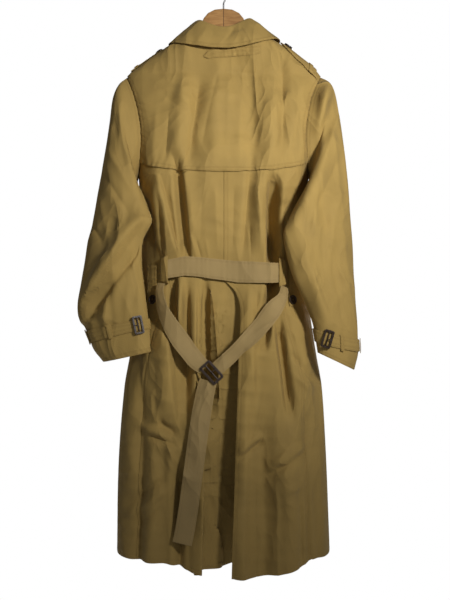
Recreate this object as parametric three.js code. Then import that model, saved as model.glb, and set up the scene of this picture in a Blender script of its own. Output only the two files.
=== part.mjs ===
// Trench coat hanging on a wooden hanger. Millimetres, +Z up.
// The coat's back faces -Y. Left and right are those of a viewer behind the coat: left is -X.
// The origin is the inner top of the hanger's hook, where a rail bears.
import * as THREE from "three";

// Driving dimensions
const WALL = 2;
const GAP = 0.3;
const SHOULDER_Z = -222;
const NECK_Z = -126;
const UNDERARM_Z = -455;
const FLAP_Z = -424;
const WAIST_Z = -672;
const HEM_Z = -1350;
const HEM_START_Z = -1150;
const HEM_RISE = 35;
const UNDERLAP_RISE = 20;
const BACK_NECK_DIP = 24;
const FRONT_NECK_DIP = 19;
const FLAP_DIP = 28;
const BELT_THICKNESS = 3;
const BUTTON_RADIUS = 10.5;
const FRONT_OVERLAP = 85;
const BREAK_Z = -420;
const HOOK_INNER_RADIUS = 18;
const WIRE_RADIUS = 1.8;
const WOOD_THICKNESS = 13;

// Colours
const CLOTH = { color: 0x9a7f46, roughness: 0.85, metalness: 0 };
const BELT_CLOTH = { color: 0x8c744a, roughness: 0.85, metalness: 0 };
const HORN = { color: 0x241d19, roughness: 0.35, metalness: 0 };
const WOOD = { color: 0xb8824a, roughness: 0.45, metalness: 0 };
const STEEL = { color: 0xa8a9ab, roughness: 0.3, metalness: 1 };

// A short table with named columns, a row for each section or fold. Out, lift and clear are distances
// from the cloth, half is half a width.
const table = (columns, rows) =>
  rows.map((row) => Object.fromEntries(columns.split(" ").map((name, i) => [name, row[i]])));

// Half widths and depths of the coat at each level, going down. Push moves its sides forward.
const FORM = table("z left right back front push", [
  [-126, 84, 88, 44, 40, 0],
  [-160, 134, 144, 42, 42, 0],
  [-205, 198, 204, 38, 40, 0],
  [-222, 219, 221, 37, 40, 0],
  [-240, 220, 221, 42, 46, 0],
  [-280, 215, 215, 54, 58, 0],
  [-350, 205, 205, 68, 70, 0],
  [-455, 196, 196, 78, 80, 10],
  [-520, 194, 191, 80, 82, 30],
  [-600, 196, 192, 82, 82, 40],
  [-665, 198, 194, 82, 80, 42],
  [-720, 200, 197, 86, 82, 40],
  [-790, 207, 205, 90, 84, 36],
  [-870, 218, 216, 93, 86, 22],
  [-940, 229, 227, 96, 88, 12],
  [-1110, 241, 236, 100, 92, 0],
  [-1350, 245, 245, 104, 96, 0],
]);

// Angle of the side seam from the centre back, in degrees.
const SIDE_SEAM = table("z angle", [
  [-455, 90],
  [-480, 80],
  [-520, 66],
  [-600, 50],
  [-665, 44.5],
  [-760, 44],
  [-900, 50],
  [-1350, 54],
]);

// Large folds of the back: a line from one end to the other, how far it stands out, its half width,
// and how much sharper its right flank is.
const BACK_FOLDS = table("x1 z1 x2 z2 out half sharp", [
  [-78, -205, -98, -450, 7, 15, 1],
  [-52, -225, -83, -445, -7, 13, 1],
  [-22, -250, -24, -450, 4, 16, 1],
  [72, -180, 74, -450, -6, 20, 1],
  [104, -150, 104, -450, 7, 12, 1],
  [136, -170, 132, -440, -6, 12, 1],
  [-150, -470, -140, -640, 5, 8, 1],
  [-150, -455, -98, -650, 9, 16, 2],
  [-100, -480, -86, -660, -13, 11, 1],
  [58, -450, 41, -650, -5, 8, 1],
  [74, -455, 78, -650, 6, 20, 2],
  [111, -455, 109, -690, -26, 12, 1],
  [132, -500, 134, -620, -6, 14, 1],
  [-113, -680, -113, -800, -10, 15, 1],
  [-92, -670, -101, -800, 9, 8, 1],
  [-80, -680, -78, -960, -6, 9, 1],
  [-60, -680, -58, -1010, 5, 12, 1],
  [-40, -680, -39, -1000, -9, 8, 1],
  [-14, -690, -12, -880, 5, 18, 1],
  [109, -690, 84, -820, -16, 12, 1],
  [119, -770, 148, -1000, -12, 10, 1],
  [164, -730, 168, -990, 6, 24, 1],
  [-128, -800, -112, -1010, 12, 34, 3],
  [-150, -1000, -100, -1040, -6, 12, 1],
  [-43, -940, -50, -1350, 10, 13, 1],
  [-96, -1080, -97, -1350, -14, 12, 1],
  [-150, -1080, -160, -1350, 8, 26, 1],
  [52, -900, 46, -1350, 8, 26, 1],
  [92, -980, 98, -1350, -9, 16, 1],
  [140, -1040, 146, -1350, 8, 24, 1],
]);
const FRONT_FOLDS = table("x1 z1 x2 z2 out half sharp", [
  [-150, -300, -145, -620, 6, 24, 1],
  [158, -320, 152, -620, 6, 24, 1],
  [-150, -690, -165, -1330, 9, 30, 1],
  [-190, -800, -205, -1330, -7, 16, 1],
  [150, -690, 160, -1330, 8, 28, 1],
  [192, -820, 200, -1330, -7, 16, 1],
]);

// Depth by which the left panel turns in beside the vent, and how far its underlap reaches across.
const VENT = table("z recess underlap edge", [
  [-640, 0, -0.2, 0.2],
  [-690, 3, -0.2, 0.2],
  [-720, 9, 40, 26],
  [-760, 16, 44, 38],
  [-870, 30, 44, 34],
  [-1110, 52, 42, 26],
  [-1350, 74, 40, 18],
]);
const RECESS_FROM = -72;
const RECESS_TO = -4;

// Levels of the rows that every body panel shares, so that its seams meet row by row.
const NECK_ROWS = [-126, -145, -165, -190, -210, -222];
const ARM_ROWS = [-222, -233, -252, -282, -320, -360, -395, -424, -444, -455];
const LOWER_ROWS = [
  -480, -512, -548, -584, -618, -645, -665, -690, -720, -760, -810, -870, -940, -1020, -1110, -1200, -1285,
  -1350,
];
const BODY_ROWS = [...NECK_ROWS, ...ARM_ROWS.slice(1), ...LOWER_ROWS];
const FLAP_ROWS = BODY_ROWS.filter((z) => z >= FLAP_Z);
const BACK_COLUMNS = [
  0, 0.08, 0.16, 0.24, 0.32, 0.4, 0.45, 0.49, 0.53, 0.57, 0.61, 0.65, 0.69, 0.74, 0.8, 0.87, 0.94, 1,
];
const FRONT_COLUMNS = [0, 0.08, 0.18, 0.29, 0.41, 0.52, 0.62, 0.72, 0.81, 0.91, 1];

const QUARTER = Math.PI / 2;
const mix = (a, b, t) => a + (b - a) * t;
const clamp = (t) => Math.min(1, Math.max(0, t));
const smooth = (t) => clamp(t) ** 2 * (3 - 2 * clamp(t));
const vec = (x, y, z) => new THREE.Vector3(x, y, z);

// A column of a table at a level, as a smooth curve through its rows.
function read(rows, key, z) {
  if (z >= rows[0].z) return rows[0][key];
  if (z <= rows.at(-1).z) return rows.at(-1)[key];
  const i = rows.findIndex((row) => row.z <= z);
  const a = rows[i - 1];
  const b = rows[i];
  const before = rows[Math.max(i - 2, 0)];
  const after = rows[Math.min(i + 1, rows.length - 1)];
  const span = b.z - a.z;
  const t = (z - a.z) / span;
  const slopeA = ((b[key] - before[key]) / (b.z - before.z)) * span;
  const slopeB = ((after[key] - a[key]) / (after.z - a.z)) * span;
  const cubic = 2 * a[key] - 2 * b[key] + slopeA + slopeB;
  const square = -3 * a[key] + 3 * b[key] - 2 * slopeA - slopeB;
  return ((cubic * t + square) * t + slopeA) * t + a[key];
}

// How far the folds of one face push a place out. Each fades towards its ends, but not at the hem.
const FOLD_ENDS = 0.28;
const OPEN_FOLDS_Z = -1100;
function foldOut(folds, x, z) {
  let out = 0;
  for (const fold of folds) {
    const dx = fold.x2 - fold.x1;
    const dz = fold.z2 - fold.z1;
    const length = Math.hypot(dx, dz);
    const along = ((x - fold.x1) * dx + (z - fold.z1) * dz) / length ** 2;
    const across = ((x - fold.x1) * -dz + (z - fold.z1) * dx) / length;
    const half = across > 0 ? fold.half / fold.sharp : fold.half;
    const open = z < OPEN_FOLDS_Z ? 1 : 0;
    const fade = smooth(along / FOLD_ENDS) * smooth((1 - along) / FOLD_ENDS + open);
    out += fold.out * Math.exp(-((across / half) ** 2)) * fade;
  }
  return out;
}

// A place on the coat's inner surface: the angle runs from the centre back, positive to the right.
// The belt flattens the folds about the waist.
const FLATNESS = 0.6;
const WAIST_FLATTENING = 0.6;
const WAIST_SPREAD = 40;
function bodyPoint(angle, z, folded = true) {
  const sine = Math.sin(angle);
  const cosine = Math.cos(angle);
  const half = read(FORM, sine < 0 ? "left" : "right", z);
  const depth = mix(read(FORM, "front", z), read(FORM, "back", z), (1 + cosine) / 2);
  const x = half * sine;
  const y = -depth * cosine * (1 + FLATNESS * sine * sine) + read(FORM, "push", z) * sine ** 4;
  const folds = cosine > 0 ? BACK_FOLDS : FRONT_FOLDS;
  const waist = 1 - WAIST_FLATTENING * Math.exp(-(((z - WAIST_Z) / WAIST_SPREAD) ** 2));
  const out = folded ? foldOut(folds, x, z) * smooth(Math.abs(cosine) * 2.2) * waist : 0;
  const slope = depth * sine * (1 + FLATNESS * (sine * sine - 2 * cosine * cosine));
  const along = vec(half * cosine, slope, 0).normalize();
  return vec(x + along.y * out, y - along.x * out, z);
}

// The same place with its outward normal.
function bodyPlace(angle, z, folded = true) {
  const step = 0.004;
  const across = bodyPoint(angle + step, z, folded).sub(bodyPoint(angle - step, z, folded));
  const up = bodyPoint(angle, z + 0.5, folded).sub(bodyPoint(angle, z - 0.5, folded));
  return { point: bodyPoint(angle, z, folded), normal: across.cross(up).normalize() };
}

// The place on the back at a given x.
function backAt(x, z, folded = true) {
  const half = read(FORM, x < 0 ? "left" : "right", z);
  return bodyPlace(Math.asin(Math.max(-1, Math.min(1, x / half))), z, folded);
}

// Angle of the armhole seam, or of the side seam below it.
const ARMHOLE_INSET = 0.45;
function armTurn(z) {
  return Math.acos(Math.max(-1, Math.min(1, 1 - (2 * (SHOULDER_Z - z)) / (SHOULDER_Z - UNDERARM_Z))));
}
function seamAngle(z) {
  if (z >= SHOULDER_Z) return QUARTER;
  if (z >= UNDERARM_Z) return QUARTER - ARMHOLE_INSET * Math.max(0, Math.sin(armTurn(z))) ** 0.8;
  return THREE.MathUtils.degToRad(read(SIDE_SEAM, "angle", z));
}

// Rows dip at the neck, at the flap's lower edge and at the hem. Reach is 0 at the centre back and 1 at
// the side seam of a back panel, and 1 at the edge of a front panel.
const FLAP_SPREAD = 45;
const EDGE_DROP = 4;
const hemShare = (level) => smooth((HEM_START_Z - level) / (HEM_START_Z - HEM_Z));
function rowLevel(level, reach, side = 0) {
  const bow = 1 - reach * reach;
  const neck = -BACK_NECK_DIP * bow * clamp((level - SHOULDER_Z) / (NECK_Z - SHOULDER_Z));
  const flap = -FLAP_DIP * bow * Math.exp(-(((level - FLAP_Z) / FLAP_SPREAD) ** 2));
  const rise = side < 0 ? smooth((reach - 0.2) / 0.5) : reach * reach;
  const underlap = side < 0 ? UNDERLAP_RISE * smooth((0.3 - reach) / 0.3) : 0;
  return level + neck + flap + (HEM_RISE * rise + underlap) * hemShare(level);
}
function frontLevel(level, reach) {
  const neck = -FRONT_NECK_DIP * reach ** 1.5 * clamp((level - SHOULDER_Z) / (NECK_Z - SHOULDER_Z));
  const edge = level < HEM_START_Z ? EDGE_DROP * reach : 0;
  return level + neck + HEM_RISE * hemShare(level) - edge;
}

// A closed wall over a grid of places. Lift and thickness are measured along each place's normal.
function wall(grid, { lift = 0, thickness = WALL, round = false } = {}) {
  const rows = grid.length;
  const columns = grid[0].length;
  const points = [];
  for (const level of [lift + thickness, lift])
    for (const row of grid)
      for (const place of row) points.push(place.point.clone().addScaledVector(place.normal, level));
  const outer = (i, j) => i * columns + (j % columns);
  const inner = (i, j) => rows * columns + outer(i, j);
  const faces = [];
  const quad = (a, b, c, d) => {
    const short = points[a].distanceToSquared(points[c]) <= points[b].distanceToSquared(points[d]);
    if (short) faces.push([a, b, c], [a, c, d]);
    else faces.push([a, b, d], [b, c, d]);
  };
  const spans = round ? columns : columns - 1;
  for (let i = 0; i < rows - 1; i++)
    for (let j = 0; j < spans; j++) {
      quad(outer(i, j), outer(i + 1, j), outer(i + 1, j + 1), outer(i, j + 1));
      quad(inner(i, j), inner(i, j + 1), inner(i + 1, j + 1), inner(i + 1, j));
    }
  for (let j = 0; j < spans; j++) {
    quad(outer(0, j), outer(0, j + 1), inner(0, j + 1), inner(0, j));
    quad(outer(rows - 1, j), inner(rows - 1, j), inner(rows - 1, j + 1), outer(rows - 1, j + 1));
  }
  for (let i = 0; i < rows - 1 && !round; i++) {
    quad(outer(i, 0), inner(i, 0), inner(i + 1, 0), outer(i + 1, 0));
    quad(outer(i, spans), outer(i + 1, spans), inner(i + 1, spans), inner(i, spans));
  }
  return closedGeometry(points, faces);
}

// A geometry from points and faces, turned so that its faces point out.
function closedGeometry(points, faces) {
  const volume = faces.reduce(
    (sum, [a, b, c]) => sum + points[a].dot(points[b].clone().cross(points[c])),
    0,
  );
  const order = volume < 0 ? faces.map(([a, b, c]) => [a, c, b]) : faces;
  const geometry = new THREE.BufferGeometry();
  geometry.setAttribute("position", new THREE.Float32BufferAttribute(points.flatMap((p) => p.toArray()), 3));
  geometry.setIndex(order.flat());
  geometry.computeVertexNormals();
  return geometry;
}

// A flat band swept along stations. Each station has its centre, half width and turn about the path
// in degrees: at 0 the band faces the viewer behind the coat.
function band(stations, thickness) {
  const path = stations.map((s) => vec(s.x, s.y, s.z));
  const points = [];
  stations.forEach((station, i) => {
    const ahead = path[Math.min(i + 1, path.length - 1)].clone().sub(path[Math.max(i - 1, 0)]).normalize();
    const face = vec(0, -1, 0).addScaledVector(ahead, ahead.y).normalize();
    face.applyAxisAngle(ahead, THREE.MathUtils.degToRad(station.turn ?? 0));
    const across = ahead.clone().cross(face);
    for (const [side, out] of [[-1, 1], [1, 1], [1, 0], [-1, 0]])
      points.push(
        path[i].clone().addScaledVector(across, side * station.half).addScaledVector(face, out * thickness),
      );
  });
  const faces = [];
  const last = (stations.length - 1) * 4;
  for (let i = 0; i < last; i += 4)
    for (let k = 0; k < 4; k++) {
      const next = (k + 1) % 4;
      faces.push([i + k, i + next, i + 4 + next], [i + k, i + 4 + next, i + 4 + k]);
    }
  faces.push([0, 2, 1], [0, 3, 2], [last, last + 1, last + 2], [last, last + 2, last + 3]);
  return closedGeometry(points, faces);
}

const coat = new THREE.Group();
function add(name, geometry, finish) {
  const mesh = new THREE.Mesh(geometry, new THREE.MeshStandardMaterial(finish));
  mesh.name = name;
  coat.add(mesh);
  return mesh;
}

// Angle that keeps half the seam gap at a place.
function seamShift(angle, z) {
  const step = 0.01;
  return ((GAP / 2) * step) / bodyPoint(angle + step, z).distanceTo(bodyPoint(angle, z));
}

// Back panels. The right one lies over the left one's underlap at the vent.
function backAngle(side, z, column) {
  const edge = seamAngle(z);
  const start = read(VENT, side < 0 ? "underlap" : "edge", z) / read(FORM, side < 0 ? "left" : "right", z);
  return mix(start, side * (edge - seamShift(edge, z)), column);
}
function backGrid(side) {
  return BODY_ROWS.map((level) =>
    BACK_COLUMNS.map((column) => {
      const z = rowLevel(level, column, side);
      const place = bodyPlace(backAngle(side, z, column), z);
      const turnedIn = smooth((place.point.x - RECESS_FROM) / (RECESS_TO - RECESS_FROM));
      if (side < 0) place.point.addScaledVector(place.normal, -read(VENT, "recess", z) * turnedIn);
      return place;
    }),
  );
}
add("back_left", wall(backGrid(-1)), CLOTH);
add("back_right", wall(backGrid(1)), CLOTH);

// Storm flap, on the same rows and columns as the back panels.
const FLAP_LIFT = WALL + 0.8;
function flapGrid() {
  const columns = [...BACK_COLUMNS.slice(1).reverse().map((c) => -c), ...BACK_COLUMNS];
  return FLAP_ROWS.map((level) =>
    columns.map((column) => {
      const side = Math.sign(column) || 1;
      const z = rowLevel(level, Math.abs(column), side);
      return bodyPlace(backAngle(side, z, Math.min(0.995, Math.abs(column))), z);
    }),
  );
}
add("storm_flap", wall(flapGrid(), { lift: FLAP_LIFT }), CLOTH);

// Front panels, from the shoulder, armhole and side seams round to the double-breasted front edge.
const EDGE_AT_NECK = 79;
function frontEdgeX(z) {
  const neckZ = NECK_Z - FRONT_NECK_DIP;
  return mix(EDGE_AT_NECK, -FRONT_OVERLAP, clamp((z - neckZ) / (BREAK_Z - neckZ)));
}
function frontEdgeAngle(side, z) {
  const half = read(FORM, frontEdgeX(z) * side < 0 ? "left" : "right", z);
  return Math.PI - Math.asin(frontEdgeX(z) / half);
}
// The right panel lies over the left one by OVER_LIFT, from its edge to OVER_EASE beyond the overlap.
const OVER_LIFT = WALL + 1.5;
const OVER_EASE = 45;
function frontGrid(side, over) {
  return BODY_ROWS.map((level) =>
    FRONT_COLUMNS.map((column) => {
      const z = frontLevel(level, column);
      const seam = seamAngle(frontLevel(level, 0));
      const armhole = level <= SHOULDER_Z && level >= UNDERARM_Z;
      const start = armhole ? Math.PI - seam : seam;
      const angle = mix(start + seamShift(seam, z), frontEdgeAngle(side, z), column);
      const place = bodyPlace(side * angle, z);
      const overlapped = smooth((FRONT_OVERLAP + OVER_EASE - side * place.point.x) / OVER_EASE);
      const below = smooth((NECK_Z - 60 - z) / 90);
      if (over) place.point.addScaledVector(place.normal, OVER_LIFT * overlapped * below);
      return place;
    }),
  );
}
add("front_left", wall(frontGrid(-1, false)), CLOTH);
add("front_right", wall(frontGrid(1, true)), CLOTH);

// Lapels, folded back along each front edge.
const LAPEL_TOP_Z = -190;
const LAPEL_LOW_Z = { "-1": -252, 1: -395 };
const LAPEL = table("z width lift", [
  [-178, 26, 0.7],
  [-215, 70, 1.2],
  [-240, 84, 1.5],
  [-300, 58, 1],
  [-360, 32, 0.8],
  [-408, 8, 0.7],
]);
function lapelGrid(side) {
  const columns = [0, 0.25, 0.5, 0.75, 1];
  const rows = BODY_ROWS.filter((z) => z <= LAPEL_TOP_Z && z >= LAPEL_LOW_Z[side]);
  return rows.map((level) =>
    columns.map((column) => {
      const half = read(FORM, "right", level);
      const x = frontEdgeX(level) + 1 + read(LAPEL, "width", level) * column;
      const place = bodyPlace(side * (Math.PI - Math.asin(x / half)), level);
      const overlap = side > 0 ? OVER_LIFT : 0;
      place.point.addScaledVector(place.normal, WALL + overlap + read(LAPEL, "lift", level));
      return place;
    }),
  );
}
add("lapel_left", wall(lapelGrid(-1)), CLOTH);
add("lapel_right", wall(lapelGrid(1)), CLOTH);

// Collar: from the neck seam up the stand, over the roll and down the fall. Side and back levels differ.
// Its ends meet the lapels at the front, COLLAR_END radians from the centre back.
const COLLAR = table("half back zSide zBack", [
  [83, 45, -123.5, -148.6],
  [70, 41, -110, -136],
  [59, 39, -95, -121],
  [63, 43, -93, -119],
  [81, 50, -106, -132],
  [103, 58, -126, -149],
  [129, 64, -147, -171],
]);
const COLLAR_END = 2.25;
const COLLAR_SHIFT = 2;
const COLLAR_LIFT = 9;
const COLLAR_FRONT_DROP = [20, 40];
const COLLAR_FRONT_DEPTH = 1.3;
const COLLAR_FLATNESS = 0.3;
function collarGrid() {
  const steps = 24;
  return COLLAR.map((row, i) =>
    Array.from({ length: steps + 1 }, (_, j) => {
      const angle = mix(-COLLAR_END, COLLAR_END, j / steps);
      const sine = Math.sin(angle);
      const forward = clamp(Math.cos(angle) / Math.cos(COLLAR_END));
      const drop = Math.max(0, Math.cos(angle)) ** 2;
      const share = i / (COLLAR.length - 1);
      const z = mix(row.zSide, row.zBack, drop) - forward ** 2 * mix(...COLLAR_FRONT_DROP, share);
      const lifted = COLLAR_LIFT * smooth(sine) * share;
      const depth = row.back * mix(1, COLLAR_FRONT_DEPTH, forward);
      const y = -depth * Math.cos(angle) * (1 + COLLAR_FLATNESS * sine * sine);
      return vec(COLLAR_SHIFT + row.half * sine, y, z + lifted);
    }),
  );
}

// Normals of a grid of points, from its neighbours.
function places(points, flip = 1) {
  const pick = (i, j) => points[clampIndex(i, points.length)][clampIndex(j, points[0].length)];
  return points.map((row, i) =>
    row.map((point, j) => {
      const across = pick(i, j + 1).clone().sub(pick(i, j - 1));
      const along = pick(i + 1, j).clone().sub(pick(i - 1, j));
      return { point, normal: across.cross(along).normalize().multiplyScalar(flip) };
    }),
  );
}
const clampIndex = (i, count) => Math.min(count - 1, Math.max(0, i));
add("collar", wall(places(collarGrid(), -1)), CLOTH);

// Sleeves: rings between an outer and an inner rail. The first ring is the armhole seam.
const LEFT_SLEEVE = table("xo zo yo xi zi yi half", [
  [-239, -240, -2, -201, -468, -14, 50],
  [-253, -272, -4, -193, -483, -34, 48],
  [-260, -330, -6, -185, -498, -52, 46],
  [-268, -394, -8, -177, -515, -68, 44],
  [-277, -459, -12, -171, -534, -80, 42],
  [-287, -520, -16, -165, -552, -88, 40],
  [-295, -562, -20, -162, -566, -92, 38],
  [-303, -601, -22, -180, -604, -90, 40],
  [-312, -650, -26, -184, -650, -92, 40],
  [-320, -705, -30, -178, -706, -94, 40],
  [-326, -775, -34, -170, -765, -98, 38],
  [-312, -800, -36, -167, -790, -100, 36],
  [-300, -826, -38, -165, -812, -102, 34],
  [-290, -850, -40, -164, -832, -104, 33],
  [-267, -876, -42, -163, -852, -106, 32],
]);
const RIGHT_SLEEVE = table("xo zo yo xi zi yi half", [
  [243, -236, -2, 200, -468, -14, 50],
  [256, -262, -4, 191, -484, -38, 48],
  [265, -312, -6, 178, -501, -62, 46],
  [272, -370, -8, 165, -523, -84, 44],
  [278, -430, -12, 153, -547, -98, 42],
  [283, -490, -16, 142, -570, -106, 40],
  [286, -548, -18, 135, -594, -110, 40],
  [289, -610, -22, 140, -630, -112, 40],
  [291, -680, -26, 152, -676, -112, 40],
  [293, -740, -30, 172, -720, -110, 42],
  [295, -784, -32, 188, -754, -108, 42],
  [295, -822, -34, 202, -788, -106, 42],
  [296, -853, -36, 208, -820, -104, 40],
  [285, -891, -38, 214, -856, -104, 38],
]);
// The front of a sleeve is flatter than its back.
const FRONT_SHARE = 0.75;
const SLEEVE_FOLDS = {
  "-1": table("x1 z1 x2 z2 out half sharp", [
    [-160, -540, -335, -790, 9, 15, 2],
    [-250, -300, -215, -470, -6, 12, 1],
    [-250, -690, -245, -810, -5, 9, 1],
  ]),
  1: table("x1 z1 x2 z2 out half sharp", [
    [236, -250, 205, -420, 8, 14, 1],
    [262, -270, 185, -450, -9, 14, 1],
    [150, -560, 230, -820, 6, 18, 1],
    [205, -470, 270, -760, -4, 10, 1],
  ]),
};
const SLEEVE_COLUMNS = [
  ...ARM_ROWS.map((z) => ({ turn: armTurn(z), z, front: false })),
  ...ARM_ROWS.slice(1, -1).reverse().map((z) => ({ turn: 2 * Math.PI - armTurn(z), z, front: true })),
];

// The sleeve head stands HEAD_GAP off the body's armhole edge, and under the arm outside the body's wall.
const HEAD_GAP = 1.1;
const HEAD_DROP = 0.18;
const UNDERARM_LIFT = 2 * WALL + 1.2;
const UNDERARM_TURN = 0.75;
function armholeRing(side) {
  return SLEEVE_COLUMNS.map(({ turn, z, front }) => {
    const seam = seamAngle(z);
    const place = bodyPlace(side * (front ? Math.PI - seam : seam), z);
    place.under = smooth((UNDERARM_TURN - Math.abs(turn - Math.PI)) / (0.8 * UNDERARM_TURN));
    place.point.add(vec(side * HEAD_GAP, 0, -HEAD_DROP));
    place.point.addScaledVector(place.normal, UNDERARM_LIFT * place.under);
    return place;
  });
}
function sleeveRing(row, side, blend) {
  const outer = vec(row.xo, row.yo, row.zo);
  const inner = vec(row.xi, row.yi, row.zi);
  const centre = outer.clone().add(inner).multiplyScalar(0.5);
  const chord = outer.clone().sub(inner).multiplyScalar(0.5);
  const rail = chord.clone().normalize();
  const face = vec(0, -1, 0).addScaledVector(rail, rail.y).normalize();
  return SLEEVE_COLUMNS.map(({ turn }) => {
    const rise = Math.sin(turn);
    const bulge = Math.sign(rise) * Math.abs(rise) ** mix(0.8, 1, blend) * (rise < 0 ? FRONT_SHARE : 1);
    const point = centre.clone().addScaledVector(chord, Math.cos(turn));
    point.addScaledVector(face, row.half * bulge);
    const out = rise > 0 ? foldOut(SLEEVE_FOLDS[side], point.x, point.z) * smooth(rise * 2) : 0;
    return point.addScaledVector(face, out);
  });
}
function sleeveGrid(side) {
  const rows = side < 0 ? LEFT_SLEEVE : RIGHT_SLEEVE;
  const first = armholeRing(side);
  const rings = [first.map((p) => p.point), ...rows.map((row, i) => sleeveRing(row, side, clamp(i / 3)))];
  const count = SLEEVE_COLUMNS.length;
  const ringAt = (i) => rings[clampIndex(i, rings.length)];
  const grid = rings.map((ring, i) =>
    ring.map((point, j) => {
      const across = ring[(j + 1) % count].clone().sub(ring[(j + count - 1) % count]);
      const along = ringAt(i + 1)[j].clone().sub(ringAt(i - 1)[j]);
      return { point, normal: across.cross(along).normalize().multiplyScalar(side) };
    }),
  );
  first.forEach((place, j) => grid[0][j].normal.lerp(place.normal, 1 - place.under).normalize());
  return grid;
}
const sleeveGrids = { "-1": sleeveGrid(-1), 1: sleeveGrid(1) };
add("sleeve_left", wall(sleeveGrids[-1], { round: true }), CLOTH);
add("sleeve_right", wall(sleeveGrids[1], { round: true }), CLOTH);

// A place on a sleeve's outer surface, between its rings and columns.
function sleeveAt(side, ring, column) {
  const grid = sleeveGrids[side];
  const count = grid[0].length;
  const i = Math.min(grid.length - 2, Math.floor(ring));
  const j = Math.floor(column);
  const pick = (a, b, key) => grid[a][((b % count) + count) % count][key];
  const blend = (key) => {
    const top = pick(i, j, key).clone().lerp(pick(i, j + 1, key), column - j);
    const low = pick(i + 1, j, key).clone().lerp(pick(i + 1, j + 1, key), column - j);
    return top.lerp(low, ring - i);
  };
  return { point: blend("point"), normal: blend("normal").normalize() };
}

// Cuff straps round each sleeve, their loops and buckles. Inner and outer give the ring at each side.
const CUFF = {
  "-1": { outer: 12.85, inner: 12, width: 1.05, loops: [1.4, 4.6], buckle: 7.5 },
  1: { outer: 12.5, inner: 12.85, width: 0.85, loops: [1.4, 5.6], buckle: 7.5 },
};
const STRAP_LIFT = WALL + 0.8;
const STRAP_THICKNESS = 2.4;
const LOOP_THICKNESS = 1.4;
const LOOP_HALF = { width: 0.62, columns: 0.22 };
const CUFF_BUCKLE = { width: 22, height: 40, bar: 4 };
function cuffRing(side, column, share) {
  const cuff = CUFF[side];
  const inward = (1 - Math.cos((column / SLEEVE_COLUMNS.length) * 2 * Math.PI)) / 2;
  return mix(cuff.outer, cuff.inner, inward) + cuff.width * share;
}
function cuffStrap(side) {
  const grid = [-0.5, 0, 0.5].map((share) =>
    SLEEVE_COLUMNS.map((_, j) => sleeveAt(side, cuffRing(side, j, share), j)),
  );
  return wall(grid, { lift: STRAP_LIFT, thickness: STRAP_THICKNESS, round: true });
}
function cuffLoop(side, column) {
  const grid = [-LOOP_HALF.width, 0, LOOP_HALF.width].map((share) =>
    [-LOOP_HALF.columns, 0, LOOP_HALF.columns].map((step) =>
      sleeveAt(side, cuffRing(side, column + step, share), column + step),
    ),
  );
  return wall(grid, { lift: STRAP_LIFT + STRAP_THICKNESS + 0.8, thickness: LOOP_THICKNESS });
}

// A buckle frame with a middle bar, its opening across X before it is turned.
const WINDOW_SHIFT = 0.2;
function buckleGeometry({ width, height, bar }) {
  const frame = new THREE.Shape();
  frame.moveTo(-width / 2, -height / 2);
  frame.lineTo(width / 2, -height / 2);
  frame.lineTo(width / 2, height / 2);
  frame.lineTo(-width / 2, height / 2);
  for (const side of [-1, 1]) {
    const near = side * bar * 0.4;
    const far = side * (width / 2 - bar);
    const hole = new THREE.Path();
    const end = side * (height / 2 - bar) + WINDOW_SHIFT;
    hole.moveTo(near, -end);
    hole.lineTo(near, end);
    hole.lineTo(far, end);
    hole.lineTo(far, -end);
    frame.holes.push(hole);
  }
  return new THREE.ExtrudeGeometry(frame, { depth: bar * 0.8, bevelEnabled: false });
}

// Sets a piece on a place, its own +Z along the place's normal and its own +X towards a direction.
function seat(mesh, place, lift, direction) {
  const across = direction.clone().addScaledVector(place.normal, -direction.dot(place.normal)).normalize();
  const up = place.normal.clone().cross(across);
  mesh.quaternion.setFromRotationMatrix(new THREE.Matrix4().makeBasis(across, up, place.normal));
  mesh.position.copy(place.point).addScaledVector(place.normal, lift);
}

// A button with a raised rim, its back on its own XY plane.
function buttonGeometry() {
  const profile = [
    [0, 0],
    [1, 0.04],
    [0.98, 0.34],
    [0.78, 0.34],
    [0.66, 0.22],
    [0, 0.22],
  ].map(([r, h]) => new THREE.Vector2(r * BUTTON_RADIUS, h * BUTTON_RADIUS));
  return new THREE.LatheGeometry(profile, 10).rotateX(QUARTER);
}
const ACROSS = vec(1, 0, 0);

for (const [side, word] of [[-1, "left"], [1, "right"]]) {
  add(`cuff_strap_${word}`, cuffStrap(side), CLOTH);
  CUFF[side].loops.forEach((column, k) => add(`cuff_loop_${word}_${k + 1}`, cuffLoop(side, column), CLOTH));
  const { buckle } = CUFF[side];
  const place = sleeveAt(side, cuffRing(side, buckle, 0), buckle);
  const frame = add(`cuff_buckle_${word}`, buckleGeometry(CUFF_BUCKLE), HORN);
  const along = sleeveAt(side, cuffRing(side, buckle - 1, 0), buckle - 1).point.sub(place.point);
  seat(frame, place, STRAP_LIFT + STRAP_THICKNESS + 0.6, along.normalize());
}

// The shoulder ridge: its level at a given x, and a walk across it, positive down the back.
function ridgeLevel(x) {
  let top = NECK_Z;
  let low = SHOULDER_Z;
  for (let i = 0; i < 20; i++) {
    const middle = (top + low) / 2;
    if (read(FORM, x < 0 ? "left" : "right", middle) < Math.abs(x)) top = middle;
    else low = middle;
  }
  return low;
}
function ridgeWalk(x, distance) {
  const side = Math.sign(x);
  const key = x < 0 ? "left" : "right";
  const at = (drop) => {
    const z = ridgeLevel(x) - drop;
    const lean = Math.asin(Math.min(1, Math.abs(x) / read(FORM, key, z)));
    return bodyPlace(side * (distance > 0 ? lean : Math.PI - lean), z);
  };
  let place = at(0);
  let walked = 0;
  for (let drop = 0.25; walked < Math.abs(distance); drop += drop < 3 ? 0.25 : 1) {
    const next = at(drop);
    walked += next.point.distanceTo(place.point);
    place = next;
  }
  return place;
}

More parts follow.
